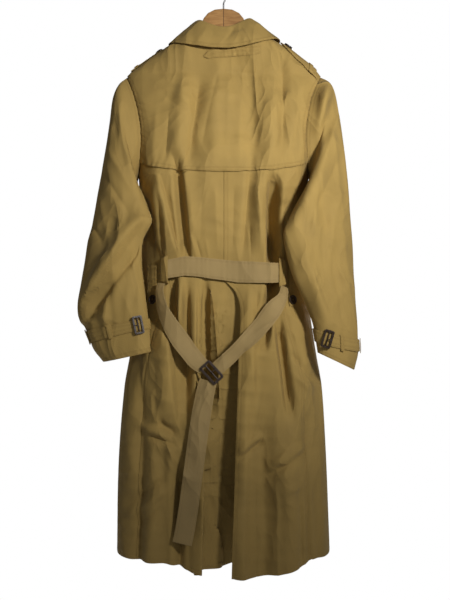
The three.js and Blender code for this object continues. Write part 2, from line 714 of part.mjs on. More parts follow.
// Epaulettes: rows along the shoulder, pointed at the neck end. Reach is from and to, across the ridge.
const EPAULETTE = table("x width", [
  [127, 0.15],
  [134, 0.6],
  [143, 0.86],
  [160, 0.92],
  [178, 0.96],
  [194, 1],
  [210, 1],
]);
const EPAULETTE_LOOP = table("x width", [
  [192, 1],
  [201, 1],
]);
const EPAULETTE_REACH = { "-1": [-36, 7], 1: [-7, 35] };
const EPAULETTE_LIFT = FLAP_LIFT + WALL + 1.4;
const EPAULETTE_THICKNESS = 2.6;
function epauletteStrip(side, rows, stretch) {
  const [from, to] = EPAULETTE_REACH[side];
  const middle = (from + to) / 2;
  return rows.map(({ x, width }) =>
    [-1, -0.6, -0.2, 0.2, 0.6, 1].map((share) =>
      ridgeWalk(side * x, middle + ((share * (to - from)) / 2) * width * stretch),
    ),
  );
}
for (const [side, word] of [[-1, "left"], [1, "right"]]) {
  const strip = epauletteStrip(side, EPAULETTE, 1);
  add(`epaulette_${word}`, wall(strip, { lift: EPAULETTE_LIFT, thickness: EPAULETTE_THICKNESS }), CLOTH);
  const keeper = epauletteStrip(side, EPAULETTE_LOOP, 1.06);
  const over = EPAULETTE_LIFT + EPAULETTE_THICKNESS + 0.5;
  add(`epaulette_loop_${word}`, wall(keeper, { lift: over, thickness: LOOP_THICKNESS }), CLOTH);
  const button = add(`epaulette_button_${word}`, buttonGeometry(), HORN);
  seat(button, strip[2][side > 0 ? 2 : 3], EPAULETTE_LIFT + EPAULETTE_THICKNESS + 0.9, ACROSS);
}

// Throat latch below the collar, pointed at its left end.
const LATCH = table("x high low", [
  [-44, -182, -186],
  [-34, -172, -190],
  [-20, -168, -187],
  [10, -166, -185],
  [40, -165, -183],
  [68, -163, -181],
  [86, -162, -178],
]);
const latchGrid = LATCH.map(({ x, high, low }) => [high, (high + low) / 2, low].map((z) => backAt(x, z)));
add("throat_latch", wall(latchGrid, { lift: FLAP_LIFT + WALL + 0.8, thickness: 2 }), CLOTH);

// Belt: a band across the back, bridging the folds.
const BELT_LIFT = 8;
const BELT = table("x z half", [
  [-136, -674, 20],
  [-118, -669, 21],
  [-85, -663, 22],
  [-55, -665, 22],
  [-28, -669, 23],
  [0, -672, 23],
  [30, -676, 24],
  [65, -677, 24],
  [98, -678, 23],
  [120, -678, 22],
  [136, -677, 21],
]);
const beltGrid = BELT.map(({ x, z, half }) =>
  [z + half, z, z - half].map((level) => backAt(x, level, false)),
);
add("belt_band", wall(beltGrid, { lift: BELT_LIFT, thickness: BELT_THICKNESS }), BELT_CLOTH);

// A station of a hanging strap, a given clearance out from the coat's plain back.
const hang = ({ x, z, clear, half, turn }) => ({ x, y: backAt(x, z, false).point.y - clear, z, half, turn });
const STRAPS = {
  belt_strap_left: table("x z clear half turn", [
    [-138, -701.5, 11, 8, 20],
    [-141, -720, 19, 10, 28],
    [-134, -756, 22, 14, 25],
    [-117, -790, 22, 18, 15],
    [-98, -820, 22, 20, 0],
    [-78, -848, 20, 20, -20],
    [-60, -870, 19, 19, -8],
    [-42, -886, 18, 16, 0],
  ]),
  belt_strap_right: table("x z clear half turn", [
    [-17, -890, 18, 15, 0],
    [10, -866, 18, 16, 12],
    [34, -842, 20, 16, 20],
    [60, -818, 20, 18, 0],
    [86, -790, 20, 19, -15],
    [110, -758, 22, 19, 0],
    [130, -732, 21, 13, 25],
    [135, -709.5, 12.4, 8, 20],
  ]),
  belt_tail: table("x z clear half turn", [
    [-33, -914, 17, 19, 0],
    [-40, -942, 17, 20, 0],
    [-50, -1000, 18, 21, 4],
    [-60, -1070, 18, 21, 0],
    [-68, -1130, 18, 21, -6],
    [-76, -1190, 18, 21, -3],
    [-84, -1240, 18, 21, 3],
    [-90, -1268, 18, 21, 3],
  ]),
};
for (const [name, rows] of Object.entries(STRAPS))
  add(name, band(rows.map(hang), BELT_THICKNESS), BELT_CLOTH);

// The belt's buckle, turned to the straps that it joins.
const BELT_BUCKLE = { width: 34, height: 56, bar: 5 };
const beltBuckle = add("belt_buckle", buckleGeometry(BELT_BUCKLE), HORN);
const buckleSeat = hang({ x: -26, z: -896, clear: 21.5 });
const facing = { point: vec(buckleSeat.x, buckleSeat.y, buckleSeat.z), normal: vec(0, -1, 0) };
seat(beltBuckle, facing, 0, vec(1, 0, 0.9));

// Belt loops stand over the belt on each side, their ends on the coat.
const LOOP_X = 131;
const LOOPS = table("side word high low", [
  [-1, "left", -643, -699],
  [1, "right", -646, -706],
]);
for (const { side, word, high, low } of LOOPS) {
  const x = side * LOOP_X;
  const out = WALL + 2.4;
  const over = BELT_LIFT + BELT_THICKNESS + 0.6;
  const rows = [
    [high, out],
    [high - 3, over],
    [(high + low) / 2, over],
    [low + 3, over],
    [low, out],
  ];
  const stations = rows.map(([z, lift]) => {
    const folded = lift === out;
    const place = backAt(x, z, folded);
    const plain = backAt(x, z, false);
    const turn = -THREE.MathUtils.radToDeg(Math.atan2(plain.normal.x, -plain.normal.y));
    return { x, y: place.point.y - lift / Math.abs(plain.normal.y), z, half: 8.5, turn };
  });
  add(`belt_loop_${word}`, band(stations, 1.6), CLOTH);
}

// Pocket welts, pointed at the lower end. Angles are in degrees from the centre back.
const WELT = table("z from to", [
  [-659, 48, 59],
  [-690, 47.5, 59],
  [-720, 47, 58],
  [-742, 46.5, 55],
  [-753, 47, 50],
]);
const WELT_LIFT = WALL + 0.9;
const WELT_THICKNESS = 2.6;
const WELT_BUTTON = { angle: 50, z: -738 };
for (const [side, word] of [[-1, "left"], [1, "right"]]) {
  const grid = WELT.map(({ z, from, to }) =>
    [0, 0.33, 0.67, 1].map((share) => bodyPlace(side * THREE.MathUtils.degToRad(mix(from, to, share)), z)),
  );
  add(`pocket_welt_${word}`, wall(grid, { lift: WELT_LIFT, thickness: WELT_THICKNESS }), CLOTH);
  const button = add(`pocket_button_${word}`, buttonGeometry(), HORN);
  const place = bodyPlace(side * THREE.MathUtils.degToRad(WELT_BUTTON.angle), WELT_BUTTON.z);
  seat(button, place, WELT_LIFT + WELT_THICKNESS + 0.6, ACROSS);
}

// Front buttons, in two columns on the upper front.
const BUTTON_X = 62;
const BUTTON_ROWS = [-450, -545, -640, -735];
for (const [side, word] of [[-1, "left"], [1, "right"]])
  BUTTON_ROWS.forEach((z, row) => {
    const place = bodyPlace(Math.PI - Math.asin((side * BUTTON_X) / read(FORM, "right", z)), z);
    const button = add(`front_button_${word}_${row + 1}`, buttonGeometry(), HORN);
    seat(button, place, OVER_LIFT + WALL + 0.6, ACROSS);
  });

// Wooden hanger, with a domed middle and arms along the shoulder ridge.
const WOOD_TOP_Z = -62;
const WOOD_LOW_Z = -130;
const woodShape = new THREE.Shape();
const WOOD_RIGHT = [
  [20, -64],
  [36, -72],
  [46, -84],
  [53, -100],
  [66, -119],
  [87, -129.9],
  [136, -162.3],
  [190, -200.4],
  [203, -213],
  [205, -222],
  [197, -229],
  [184, -226],
  [130, -190],
  [70, -150],
];
woodShape.moveTo(0, WOOD_TOP_Z);
WOOD_RIGHT.forEach(([x, z]) => woodShape.lineTo(x, z));
woodShape.lineTo(0, WOOD_LOW_Z);
[...WOOD_RIGHT].reverse().forEach(([x, z]) => woodShape.lineTo(-x, z));
woodShape.closePath();
const ROUNDING = 3;
const woodGeometry = new THREE.ExtrudeGeometry(woodShape, {
  depth: WOOD_THICKNESS - 2 * ROUNDING,
  bevelThickness: ROUNDING,
  bevelSize: ROUNDING,
  bevelOffset: -ROUNDING,
  bevelSegments: 2,
});
woodGeometry.translate(0, 0, -WOOD_THICKNESS / 2 + ROUNDING).rotateX(QUARTER);
add("hanger_wood", woodGeometry, WOOD);

// Wire hook, from the wood up round the rail.
const bend = HOOK_INNER_RADIUS + WIRE_RADIUS;
const hookPath = [vec(0, 0, WOOD_TOP_Z + GAP), vec(0, 0, -52), vec(1, 0, -45), vec(8, 0, -38.5)];
for (let turn = -40; turn <= 190; turn += 23) {
  const angle = THREE.MathUtils.degToRad(turn);
  hookPath.push(vec(bend * Math.cos(angle), 0, -HOOK_INNER_RADIUS + bend * Math.sin(angle)));
}
const wire = new THREE.Shape().absarc(0, 0, WIRE_RADIUS, 0, 2 * Math.PI);
const hookGeometry = new THREE.ExtrudeGeometry(wire, {
  steps: 26,
  curveSegments: 8,
  extrudePath: new THREE.CatmullRomCurve3(hookPath),
});
add("hanger_hook", hookGeometry, STEEL);

export default coat;
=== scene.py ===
import math

import bpy
import numpy as np
from mathutils import Matrix, Vector


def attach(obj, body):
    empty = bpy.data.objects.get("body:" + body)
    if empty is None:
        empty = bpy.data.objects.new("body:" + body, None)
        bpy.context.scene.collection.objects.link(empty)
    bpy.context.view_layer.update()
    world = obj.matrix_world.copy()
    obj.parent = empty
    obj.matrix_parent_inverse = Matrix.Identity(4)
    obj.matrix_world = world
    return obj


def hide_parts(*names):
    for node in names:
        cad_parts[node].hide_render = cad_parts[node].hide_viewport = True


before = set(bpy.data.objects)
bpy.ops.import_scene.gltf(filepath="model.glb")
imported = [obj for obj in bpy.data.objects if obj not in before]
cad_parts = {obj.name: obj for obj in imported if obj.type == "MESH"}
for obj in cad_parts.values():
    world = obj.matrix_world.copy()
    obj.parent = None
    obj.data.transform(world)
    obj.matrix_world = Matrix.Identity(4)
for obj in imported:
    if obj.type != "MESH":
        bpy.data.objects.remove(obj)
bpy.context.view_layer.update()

# Studio. A pale floor well below the hem, a white surround and soft lights: the key stands on the right at
# the height of the chest, so the left side and the hem lie darker. The camera looks at the back.
bpy.ops.object.select_all(action="DESELECT")
bpy.ops.mesh.primitive_plane_add(size=30, location=(0, 6, -1.95))
floor = bpy.context.object
floor.name = "studio_floor"


def link(tree, source, target):
    tree.links.new(source, target)


def add_node(tree, kind, **inputs):
    made = tree.nodes.new("ShaderNode" + kind)
    for name, value in inputs.items():
        made.inputs[name.replace("_", " ")].default_value = value
    return made


def new_material(name):
    material = bpy.data.materials.new(name)
    material.use_nodes = True
    return material, material.node_tree, material.node_tree.nodes["Principled BSDF"]


def white_to_camera(tree, lit, white, output):
    """Lights the scene with one shader, and shows the camera plain white."""
    ray = add_node(tree, "LightPath")
    either = add_node(tree, "MixShader")
    link(tree, ray.outputs["Is Camera Ray"], either.inputs[0])
    link(tree, lit.outputs[0], either.inputs[1])
    link(tree, white.outputs[0], either.inputs[2])
    link(tree, either.outputs[0], tree.nodes[output].inputs[0])


paper, tree, skin = new_material("pale paper")
skin.inputs["Base Color"].default_value = (0.93, 0.93, 0.92, 1)
skin.inputs["Roughness"].default_value = 0.9
glow = add_node(tree, "Emission", Color=(1, 1, 1, 1))
white_to_camera(tree, skin, glow, "Material Output")
floor.data.materials.append(paper)

world = bpy.data.worlds.new("white surround")
bpy.context.scene.world = world
world.use_nodes = True
tree = world.node_tree
sky = tree.nodes["Background"]
sky.inputs["Color"].default_value = (1, 0.99, 0.97, 1)
sky.inputs["Strength"].default_value = 0.11
plain = add_node(tree, "Background", Color=(1, 1, 1, 1), Strength=1.0)
white_to_camera(tree, sky, plain, "World Output")
bpy.context.scene.view_settings.view_transform = "Standard"


def soft_light(name, place, aim, size, watts, spread=180):
    lamp = bpy.data.lights.new(name, "AREA")
    lamp.shape = "DISK"
    lamp.size = size
    lamp.energy = watts
    lamp.spread = math.radians(spread)
    holder = bpy.data.objects.new(name, lamp)
    bpy.context.collection.objects.link(holder)
    holder.location = place
    holder.rotation_euler = (Vector(aim) - Vector(place)).to_track_quat("-Z", "Y").to_euler()


soft_light("key", (0.8, -1.4, -0.2), (0.05, 0, -0.36), 0.22, 5.6, 84)
soft_light("camera side", (-0.25, -2.3, -0.3), (0, 0, -0.5), 0.4, 1.6)
soft_light("front", (0.8, 2.6, 0.2), (0, 0, -0.7), 0.8, 70)

eye = bpy.data.cameras.new("camera")
eye.lens = 48
eye.sensor_width = 36
camera = bpy.data.objects.new("camera", eye)
bpy.context.collection.objects.link(camera)
camera.location = (0.0034, -1.86, -0.738)
camera.rotation_euler = (math.radians(90), 0, 0)
bpy.context.scene.camera = camera


# Back panels of cotton gabardine, cut from neck to hem and sewn at the centre back, the shoulders, the
# armholes and the side seams. The right one laps over the left one below the vent's top. Lengths are in
# millimetres here and in every table, and each fold is a line from one end to the other.
MM = 0.001
WALL = 2.0
SHOULDER_Z = -222
NECK_Z = -126
UNDERARM_Z = -455
FLAP_Z = -424
WAIST_Z = -672
HEM_START_Z = -1150
HEM_Z = -1350
NECK_DIP = 24
FLAP_DIP = 28
HEM_RISE = 35
UNDERLAP_RISE = 20
ARMHOLE_CUT = 0.45


def table(columns, *rows):
    return [dict(zip(columns.split(), row)) for row in rows]


FOLD = "x1 z1 x2 z2 out half sharp"
FORM = table(
    "z left right back front push",
    (-126, 84, 88, 44, 40, 0),
    (-160, 134, 144, 42, 42, 0),
    (-205, 198, 204, 38, 40, 0),
    (-222, 219, 221, 37, 40, 0),
    (-240, 220, 221, 42, 46, 0),
    (-280, 215, 215, 54, 58, 0),
    (-350, 205, 205, 68, 70, 0),
    (-455, 196, 196, 78, 80, 10),
    (-520, 194, 191, 80, 82, 30),
    (-600, 196, 192, 82, 82, 40),
    (-665, 198, 194, 82, 80, 42),
    (-720, 200, 197, 86, 82, 40),
    (-790, 207, 205, 90, 84, 36),
    (-870, 218, 216, 93, 86, 22),
    (-940, 229, 227, 96, 88, 12),
    (-1110, 241, 236, 100, 92, 0),
    (-1350, 245, 245, 104, 96, 0),
)
SIDE_SEAM = table(
    "z angle",
    (-455, 90),
    (-480, 80),
    (-520, 66),
    (-600, 50),
    (-665, 44.5),
    (-760, 44),
    (-900, 50),
    (-1350, 54),
)
BACK_FOLDS = table(
    FOLD,
    (-86, -205, -104, -450, 10, 17),
    (-50, -215, -84, -455, -13, 12, 0.7),
    (-18, -230, -20, -450, 7, 20),
    (62, -180, 70, -470, -12, 26, 1.3),
    (104, -150, 104, -450, 6, 15),
    (136, -170, 132, -440, -9, 11),
    (-150, -470, -140, -640, 7, 7),
    (-150, -440, -97, -665, 19, 22, 7),
    (-107, -395, -78, -690, -24, 11),
    (-30, -470, -34, -640, 6, 34),
    (64, -400, 41, -670, -10, 8, 0.4),
    (76, -455, 82, -650, 10, 20, 3),
    (113, -440, 111, -780, -68, 15),
    (140, -500, 138, -620, -8, 12),
    (-116, -650, -113, -840, -21, 14),
    (-92, -670, -101, -810, 15, 8),
    (-80, -680, -78, -960, -12, 8),
    (-62, -680, -60, -1010, 11, 10, 3),
    (-40, -650, -39, -1040, -21, 7),
    (-14, -690, -12, -900, 9, 22),
    (109, -690, 84, -860, -24, 13),
    (119, -760, 150, -1010, -21, 11),
    (58, -690, 66, -1000, 10, 26, 3),
    (164, -730, 168, -990, 11, 22),
    (-128, -760, -104, -1030, 24, 36, 6),
    (-92, -800, -80, -1010, -12, 12),
    (-150, -1000, -100, -1040, -10, 10),
    (-43, -930, -50, -1350, 15, 12),
    (-96, -1060, -97, -1350, -20, 12),
    (-150, -1080, -160, -1350, 10, 24),
    (-182, -880, -186, -1350, -10, 14),
    (48, -880, 42, -1350, 12, 22, 2),
    (86, -980, 92, -1350, -11, 18),
    (140, -1040, 146, -1350, 10, 24),
    (186, -960, 196, -1350, -10, 13),
)
BACK_CREASES = table(
    FOLD,
    # across the shoulders, under the storm flap's stitching
    (-170, -235, -60, -300, 2.2, 9),
    (-150, -262, -70, -330, -1.8, 9),
    (-120, -300, -128, -430, -2.6, 7),
    (-150, -300, -156, -440, 2.4, 9),
    (-8, -200, -52, -420, -2.4, 7),
    (12, -210, 6, -440, 2, 9),
    (40, -230, 34, -430, 2, 8),
    (88, -220, 92, -440, -1.4, 8),
    (118, -230, 119, -445, -1.5, 8),
    (160, -250, 120, -330, 2.2, 9),
    (172, -300, 150, -430, -2.4, 8),
    # between the flap and the belt
    (-166, -500, -152, -640, -3, 4),
    (-158, -480, -146, -640, 3.4, 4),
    (-139, -490, -137, -650, -3.6, 4),
    (-128, -520, -122, -650, 2.4, 4),
    (-118, -470, -96, -640, 3, 4, 2),
    (-72, -590, -58, -655, 3, 4.5),
    (-62, -600, -46, -655, -2.6, 4),
    (-40, -600, -30, -660, 2, 5),
    (-78, -470, -66, -600, 2.4, 9),
    (-46, -480, -52, -620, -2, 10),
    (-20, -460, -12, -650, 2.4, 9),
    (24, -470, 20, -640, -2.2, 7),
    (60, -560, 62, -655, -2.6, 5),
    (84, -480, 90, -650, 3, 5),
    (102, -470, 99, -660, 4, 5, 2),
    (118, -480, 120, -650, 4, 5, 2),
    (150, -520, 146, -640, 3, 6),
    # under the belt, down to the hip
    (-128, -690, -128, -780, 3.4, 5),
    (-104, -688, -108, -760, -3, 4),
    (-86, -690, -92, -840, -3.5, 4),
    (-71, -690, -70, -900, 2.4, 4),
    (-49, -690, -49, -960, 2.6, 4),
    (-31, -690, -30, -900, 2.6, 4),
    (-40, -774, 16, -782, -1.6, 3),
    (-38, -806, 14, -800, -1.5, 3),
    (-30, -766, 20, -760, 1.2, 4),
    (-36, -826, 12, -836, -1.5, 3),
    (-34, -866, 12, -854, -1.3, 4),
    (30, -692, 26, -860, -2.6, 6),
    (56, -690, 50, -880, 2.6, 8),
    (78, -690, 66, -850, -3, 6),
    (96, -700, 82, -800, 3.6, 5, 2),
    (131, -790, 156, -960, 3.4, 6),
    (144, -850, 202, -932, -5, 6),
    (142, -896, 206, -950, 4.6, 6),
    (170, -850, 206, -905, 2.6, 5),
    # the hip and the skirt
    (-190, -850, -180, -1000, -3, 9),
    (-150, -860, -146, -1000, -2.4, 9),
    (-206, -1010, -110, -1044, 6, 9),
    (-178, -1034, -98, -1060, -7, 7),
    (-120, -1020, -108, -1340, 5, 10),
    (-72, -1020, -75, -1350, -5, 9),
    (-25, -960, -30, -1350, -4, 9),
    (-120, -1122, -204, -1186, -6, 8),
    (-112, -1146, -200, -1210, 5, 8),
    (-128, -1185, -188, -1235, -3, 7),
    (-180, -1100, -192, -1340, -4, 9),
    (26, -1092, 92, -1044, -6, 6),
    (26, -1076, 90, -1030, 5, 7),
    (84, -1132, 196, -1072, -8, 8),
    (84, -1112, 190, -1052, 6, 9),
    (110, -1170, 190, -1140, 2.2, 8),
    (28, -1000, 22, -1350, -3, 10),
    (70, -1100, 72, -1350, -4, 9),
    (116, -1120, 120, -1350, 4, 8),
    (168, -1080, 172, -1350, -5, 8),
    (189, -1040, 199, -1330, 5, 6),
    (204, -1060, 214, -1320, -5, 7),
)
FRONT_FOLDS = table(
    FOLD,
    (-150, -300, -145, -640, 10, 22, 2),
    (158, -320, 152, -640, 10, 22, 2),
    (-150, -690, -165, -1350, 14, 28, 2),
    (-190, -780, -205, -1350, -12, 14),
    (150, -690, 160, -1350, 13, 26, 2),
    (192, -800, 200, -1350, -12, 14),
)
FRONT_CREASES = table(
    FOLD,
    (-170, -260, -110, -420, -2.6, 9),
    (172, -250, 108, -430, -2.6, 9),
    (-128, -480, -120, -650, -4, 7),
    (126, -480, 118, -650, -4, 7),
    (-168, -480, -160, -640, 3.5, 6),
    (168, -490, 158, -640, 3.5, 6),
    (-106, -680, -112, -1100, -8, 9),
    (108, -680, 116, -1060, -8, 9),
    (-126, -700, -134, -1200, 4, 9),
    (128, -700, 136, -1200, 4, 9),
    (-112, -1000, -118, -1350, 4, 12),
    (114, -1000, 120, -1350, 4, 12),
    (-178, -1000, -184, -1350, 4, 9),
    (176, -1000, 182, -1350, 4, 9),
    (-200, -900, -140, -960, 2.6, 8),
    (200, -900, 146, -960, 2.6, 8),
)
VENT = table(
    "z recess underlap edge",
    (-640, 0, -0.2, 0.2),
    (-690, 3, -0.2, 0.2),
    (-720, 9, 40, 26),
    (-760, 16, 44, 38),
    (-870, 30, 44, 34),
    (-1110, 52, 42, 26),
    (-1350, 74, 40, 18),
)


def read(rows, key, z):
    """A column of a table at each level, as a smooth curve through its rows."""
    z = np.asarray(z, float)
    levels = np.array([r["z"] for r in rows], float)
    values = np.array([r[key] for r in rows], float)
    b = np.clip(np.searchsorted(-levels, -z, side="left"), 1, len(levels) - 1)
    a = b - 1
    before, after = np.maximum(b - 2, 0), np.minimum(b + 1, len(levels) - 1)
    span = levels[b] - levels[a]
    t = (np.clip(z, levels[-1], levels[0]) - levels[a]) / span
    slope_a = (values[b] - values[before]) / (levels[b] - levels[before]) * span
    slope_b = (values[after] - values[a]) / (levels[after] - levels[a]) * span
    cubic = 2 * values[a] - 2 * values[b] + slope_a + slope_b
    square = -3 * values[a] + 3 * values[b] - 2 * slope_a - slope_b
    return ((cubic * t + square) * t + slope_a) * t + values[a]


def smooth(t):
    t = np.clip(t, 0, 1)
    return t * t * (3 - 2 * t)


DEEP = -20
FINE = 5


def fold_out(folds, x, z):
    """How far the folds push each place out. Each fades towards its ends, but not at the hem. A sharp one is
    steeper on its right, a deep one has a flat floor, and a fine one has a crisp crest."""
    out = np.zeros(np.broadcast(x, z).shape)
    for f in folds:
        dx, dz = f["x2"] - f["x1"], f["z2"] - f["z1"]
        length = math.hypot(dx, dz)
        along = ((x - f["x1"]) * dx + (z - f["z1"]) * dz) / length**2
        across = ((x - f["x1"]) * -dz + (z - f["z1"]) * dx) / length
        half = np.where(across > 0, f["half"] / f.get("sharp", 1), f["half"])
        fade = smooth(along / 0.28) * smooth((1 - along) / 0.28 + (z < -1100))
        power = 4 if f["out"] < DEEP else 1.35 if abs(f["out"]) < FINE else 2
        out += f["out"] * np.exp(-(np.abs(across / half) ** power)) * fade
    return out


def ripple(seed, u, v, lengths):
    """Small uneven waves of the cloth, from a fixed set of crossing sines."""
    pick = np.random.default_rng(seed)
    total = 0
    for _ in range(7):
        across, along = (length * pick.uniform(0.6, 1.7) for length in lengths)
        lean, phase = pick.uniform(-0.35, 0.35), pick.uniform(0, 6.28)
        total = total + np.sin(6.283 * ((u + lean * v) / across + 0.35 * np.sin(v / along)) + phase)
    return total / 7


def crumple(seed, u, v, lengths):
    """Soft facets that meet in crisp lines, as in pressed cotton that has been folded away."""
    return 0.25 - np.abs(ripple(seed, u, v, lengths))


def body_point(angle, z, folded=True):
    """A place on the coat's inner surface; the angle runs from the centre back, positive to the right."""
    sine, cosine = np.sin(angle), np.cos(angle)
    half = np.where(sine < 0, read(FORM, "left", z), read(FORM, "right", z))
    front, back = read(FORM, "front", z), read(FORM, "back", z)
    depth = front + (back - front) * (1 + cosine) / 2
    x = half * sine
    y = -depth * cosine * (1 + 0.6 * sine**2) + read(FORM, "push", z) * sine**4
    out = 0
    if folded:
        back_out = fold_out(BACK_FOLDS + BACK_CREASES, x, z)
        front_out = fold_out(FRONT_FOLDS + FRONT_CREASES, x, z)
        fine = 4.6 * crumple(4, x, z, (90, 210)) + 3 * crumple(12, z, x, (70, 110))
        out = np.where(cosine > 0, back_out, front_out) + fine
        out = out * smooth(np.abs(cosine) * 2.2) * (1 - 0.6 * np.exp(-(((z - WAIST_Z) / 40) ** 2)))
    slope = depth * sine * (1 + 0.6 * (sine**2 - 2 * cosine**2))
    run = half * cosine
    size = np.hypot(run, slope)
    return np.stack([x + slope / size * out, y - run / size * out, z + 0 * x], -1)


def unit(v):
    return v / np.maximum(np.linalg.norm(v, axis=-1, keepdims=True), 1e-9)


def body_place(angle, z, folded=True):
    across = body_point(angle + 0.004, z, folded) - body_point(angle - 0.004, z, folded)
    up = body_point(angle, z + 0.5, folded) - body_point(angle, z - 0.5, folded)
    return body_point(angle, z, folded), unit(np.cross(across, up))


def back_at(x, z, folded=True):
    half = np.where(x < 0, read(FORM, "left", z), read(FORM, "right", z))
    return body_place(np.arcsin(np.clip(x / half, -1, 1)), z, folded)


def arm_turn(z):
    return np.arccos(np.clip(1 - 2 * (SHOULDER_Z - z) / (SHOULDER_Z - UNDERARM_Z), -1, 1))


def seam_angle(z):
    arm = math.pi / 2 - ARMHOLE_CUT * np.maximum(0, np.sin(arm_turn(z))) ** 0.8
    side = np.radians(read(SIDE_SEAM, "angle", z))
    return np.where(z >= SHOULDER_Z, math.pi / 2, np.where(z >= UNDERARM_Z, arm, side))


def hem_share(level):
    return smooth((HEM_START_Z - level) / (HEM_START_Z - HEM_Z))


def row_level(level, reach, side):
    bow = 1 - reach**2
    neck = -NECK_DIP * bow * np.clip((level - SHOULDER_Z) / (NECK_Z - SHOULDER_Z), 0, 1)
    flap = -FLAP_DIP * bow * np.exp(-(((level - FLAP_Z) / 45) ** 2))
    rise = np.where(side < 0, smooth((reach - 0.2) / 0.5), reach**2)
    underlap = np.where(side < 0, UNDERLAP_RISE * smooth((0.3 - reach) / 0.3), 0)
    return level + neck + flap + (HEM_RISE * rise + underlap) * hem_share(level)


def seam_shift(angle, z):
    step = body_point(angle + 0.01, z, False) - body_point(angle, z, False)
    return 0.15 * 0.01 / np.linalg.norm(step, axis=-1)


def back_angle(side, z, column):
    edge = seam_angle(z)
    key, flank = ("underlap", "left") if side < 0 else ("edge", "right")
    start = read(VENT, key, z) / read(FORM, flank, z)
    return start + (side * (edge - seam_shift(edge, z)) - start) * column


def maths(tree, operation, a, b=None, clamp=False):
    made = tree.nodes.new("ShaderNodeMath")
    made.operation = operation
    made.use_clamp = clamp
    for socket, value in zip(made.inputs, (a, b)):
        if isinstance(value, (int, float)):
            socket.default_value = value
        elif value is not None:
            link(tree, value, socket)
    return made.outputs[0]


def new_group(name, takes, gives):
    group = bpy.data.node_groups.new(name, "ShaderNodeTree")
    for socket, kind in takes.items():
        group.interface.new_socket(socket, in_out="INPUT", socket_type="NodeSocket" + kind)
    for socket, kind in gives.items():
        group.interface.new_socket(socket, in_out="OUTPUT", socket_type="NodeSocket" + kind)
    return group, group.nodes.new("NodeGroupInput"), group.nodes.new("NodeGroupOutput")


def on_object(tree, kind, **inputs):
    """A texture or mapping node that reads the piece's own Object coordinates."""
    made = add_node(tree, kind, **inputs)
    link(tree, add_node(tree, "TexCoord").outputs["Object"], made.inputs["Vector"])
    return made


# Twill weave of the gabardine: fine steep ribs along the cloth, with uneven yarns.
twill, given, made = new_group("twill weave", {"UV": "Vector"}, {"Height": "Float", "Yarn": "Float"})
split = add_node(twill, "SeparateXYZ")
link(twill, given.outputs["UV"], split.inputs[0])
steep, flat = (maths(twill, "MULTIPLY", split.outputs[k], ribs) for k, ribs in ((0, 5200), (1, 2600)))
slant = maths(twill, "ADD", steep, flat)
yarns = add_node(twill, "TexNoise", Scale=900.0, Detail=2.0)
yarns.noise_dimensions = "2D"
link(twill, given.outputs["UV"], yarns.inputs["Vector"])
ribs = maths(twill, "SINE", slant)
link(twill, maths(twill, "ADD", maths(twill, "MULTIPLY", ribs, 0.5), yarns.outputs[0]), made.inputs["Height"])
link(twill, yarns.outputs[0], made.inputs["Yarn"])

STITCH_HALF = 0.0008
STITCH_PITCH = 0.0034
STITCH_SHARE = 0.72
GROOVE_HALF = 0.0028

# Topstitching: a row of short raised stitches in a shallow groove, at a set distance from an edge.
stitch, given, made = new_group(
    "topstitch",
    {"Edge": "Float", "Run": "Float", "Inset": "Float"},
    {"Thread": "Float", "Groove": "Float"},
)
away = maths(stitch, "ABSOLUTE", maths(stitch, "SUBTRACT", given.outputs["Edge"], given.outputs["Inset"]))
line = maths(stitch, "SUBTRACT", 1, maths(stitch, "DIVIDE", away, STITCH_HALF), clamp=True)
beat = maths(stitch, "FRACT", maths(stitch, "DIVIDE", given.outputs["Run"], STITCH_PITCH))
held = maths(stitch, "LESS_THAN", beat, STITCH_SHARE)
link(stitch, maths(stitch, "MULTIPLY", line, held), made.inputs["Thread"])
wide = maths(stitch, "SUBTRACT", 1, maths(stitch, "DIVIDE", away, GROOVE_HALF), clamp=True)
link(stitch, wide, made.inputs["Groove"])

# Cloth tone: soft mottling, streaks along the hang, painted shade darkening the cloth towards the hem, and
# the fine crumples of cloth that has been folded away.
tone, given, made = new_group(
    "cloth tone",
    {"Colour": "Color"},
    {"Colour": "Color", "Cloud": "Float", "Crumple": "Float"},
)
cloud = on_object(tone, "TexNoise", Scale=11.0, Detail=5.0, Roughness=0.6)
stretch = on_object(tone, "Mapping", Scale=(60.0, 60.0, 5.0))
streak = add_node(tone, "TexNoise", Scale=1.0, Detail=3.0)
link(tone, stretch.outputs[0], streak.inputs["Vector"])
spot = on_object(tone, "SeparateXYZ")
# Painted shade: the colour darkens from Z -0.86 down to -1.2, to 0.74 of its tone, for the light falling off
# towards the hem.
low = add_node(tone, "MapRange", From_Min=-0.86, From_Max=-1.2, To_Min=1.0, To_Max=0.74)
low.interpolation_type = "SMOOTHSTEP"
link(tone, spot.outputs[2], low.inputs[0])
mottled, streaked = (maths(tone, "MULTIPLY", n.outputs[0], w) for n, w in ((cloud, 0.34), (streak, 0.16)))
uneven = maths(tone, "ADD", mottled, streaked)
value = maths(tone, "MULTIPLY", maths(tone, "ADD", uneven, 0.75), low.outputs[0])
shade = add_node(tone, "HueSaturation")
link(tone, given.outputs["Colour"], shade.inputs["Color"])
link(tone, value, shade.inputs["Value"])
link(tone, shade.outputs[0], made.inputs["Colour"])
link(tone, cloud.outputs[0], made.inputs["Cloud"])
drawn = on_object(tone, "Mapping", Scale=(1.0, 1.0, 0.5), Rotation=(0.0, 0.5, 0.0))
ridges = add_node(tone, "TexNoise", Scale=7.0, Detail=2.5, Roughness=0.45, Distortion=0.5)
ridges.noise_type = "RIDGED_MULTIFRACTAL"
ridges.inputs["Offset"].default_value = 1.0
ridges.inputs["Gain"].default_value = 1.6
link(tone, drawn.outputs[0], ridges.inputs["Vector"])
link(tone, ridges.outputs[0], made.inputs["Crumple"])


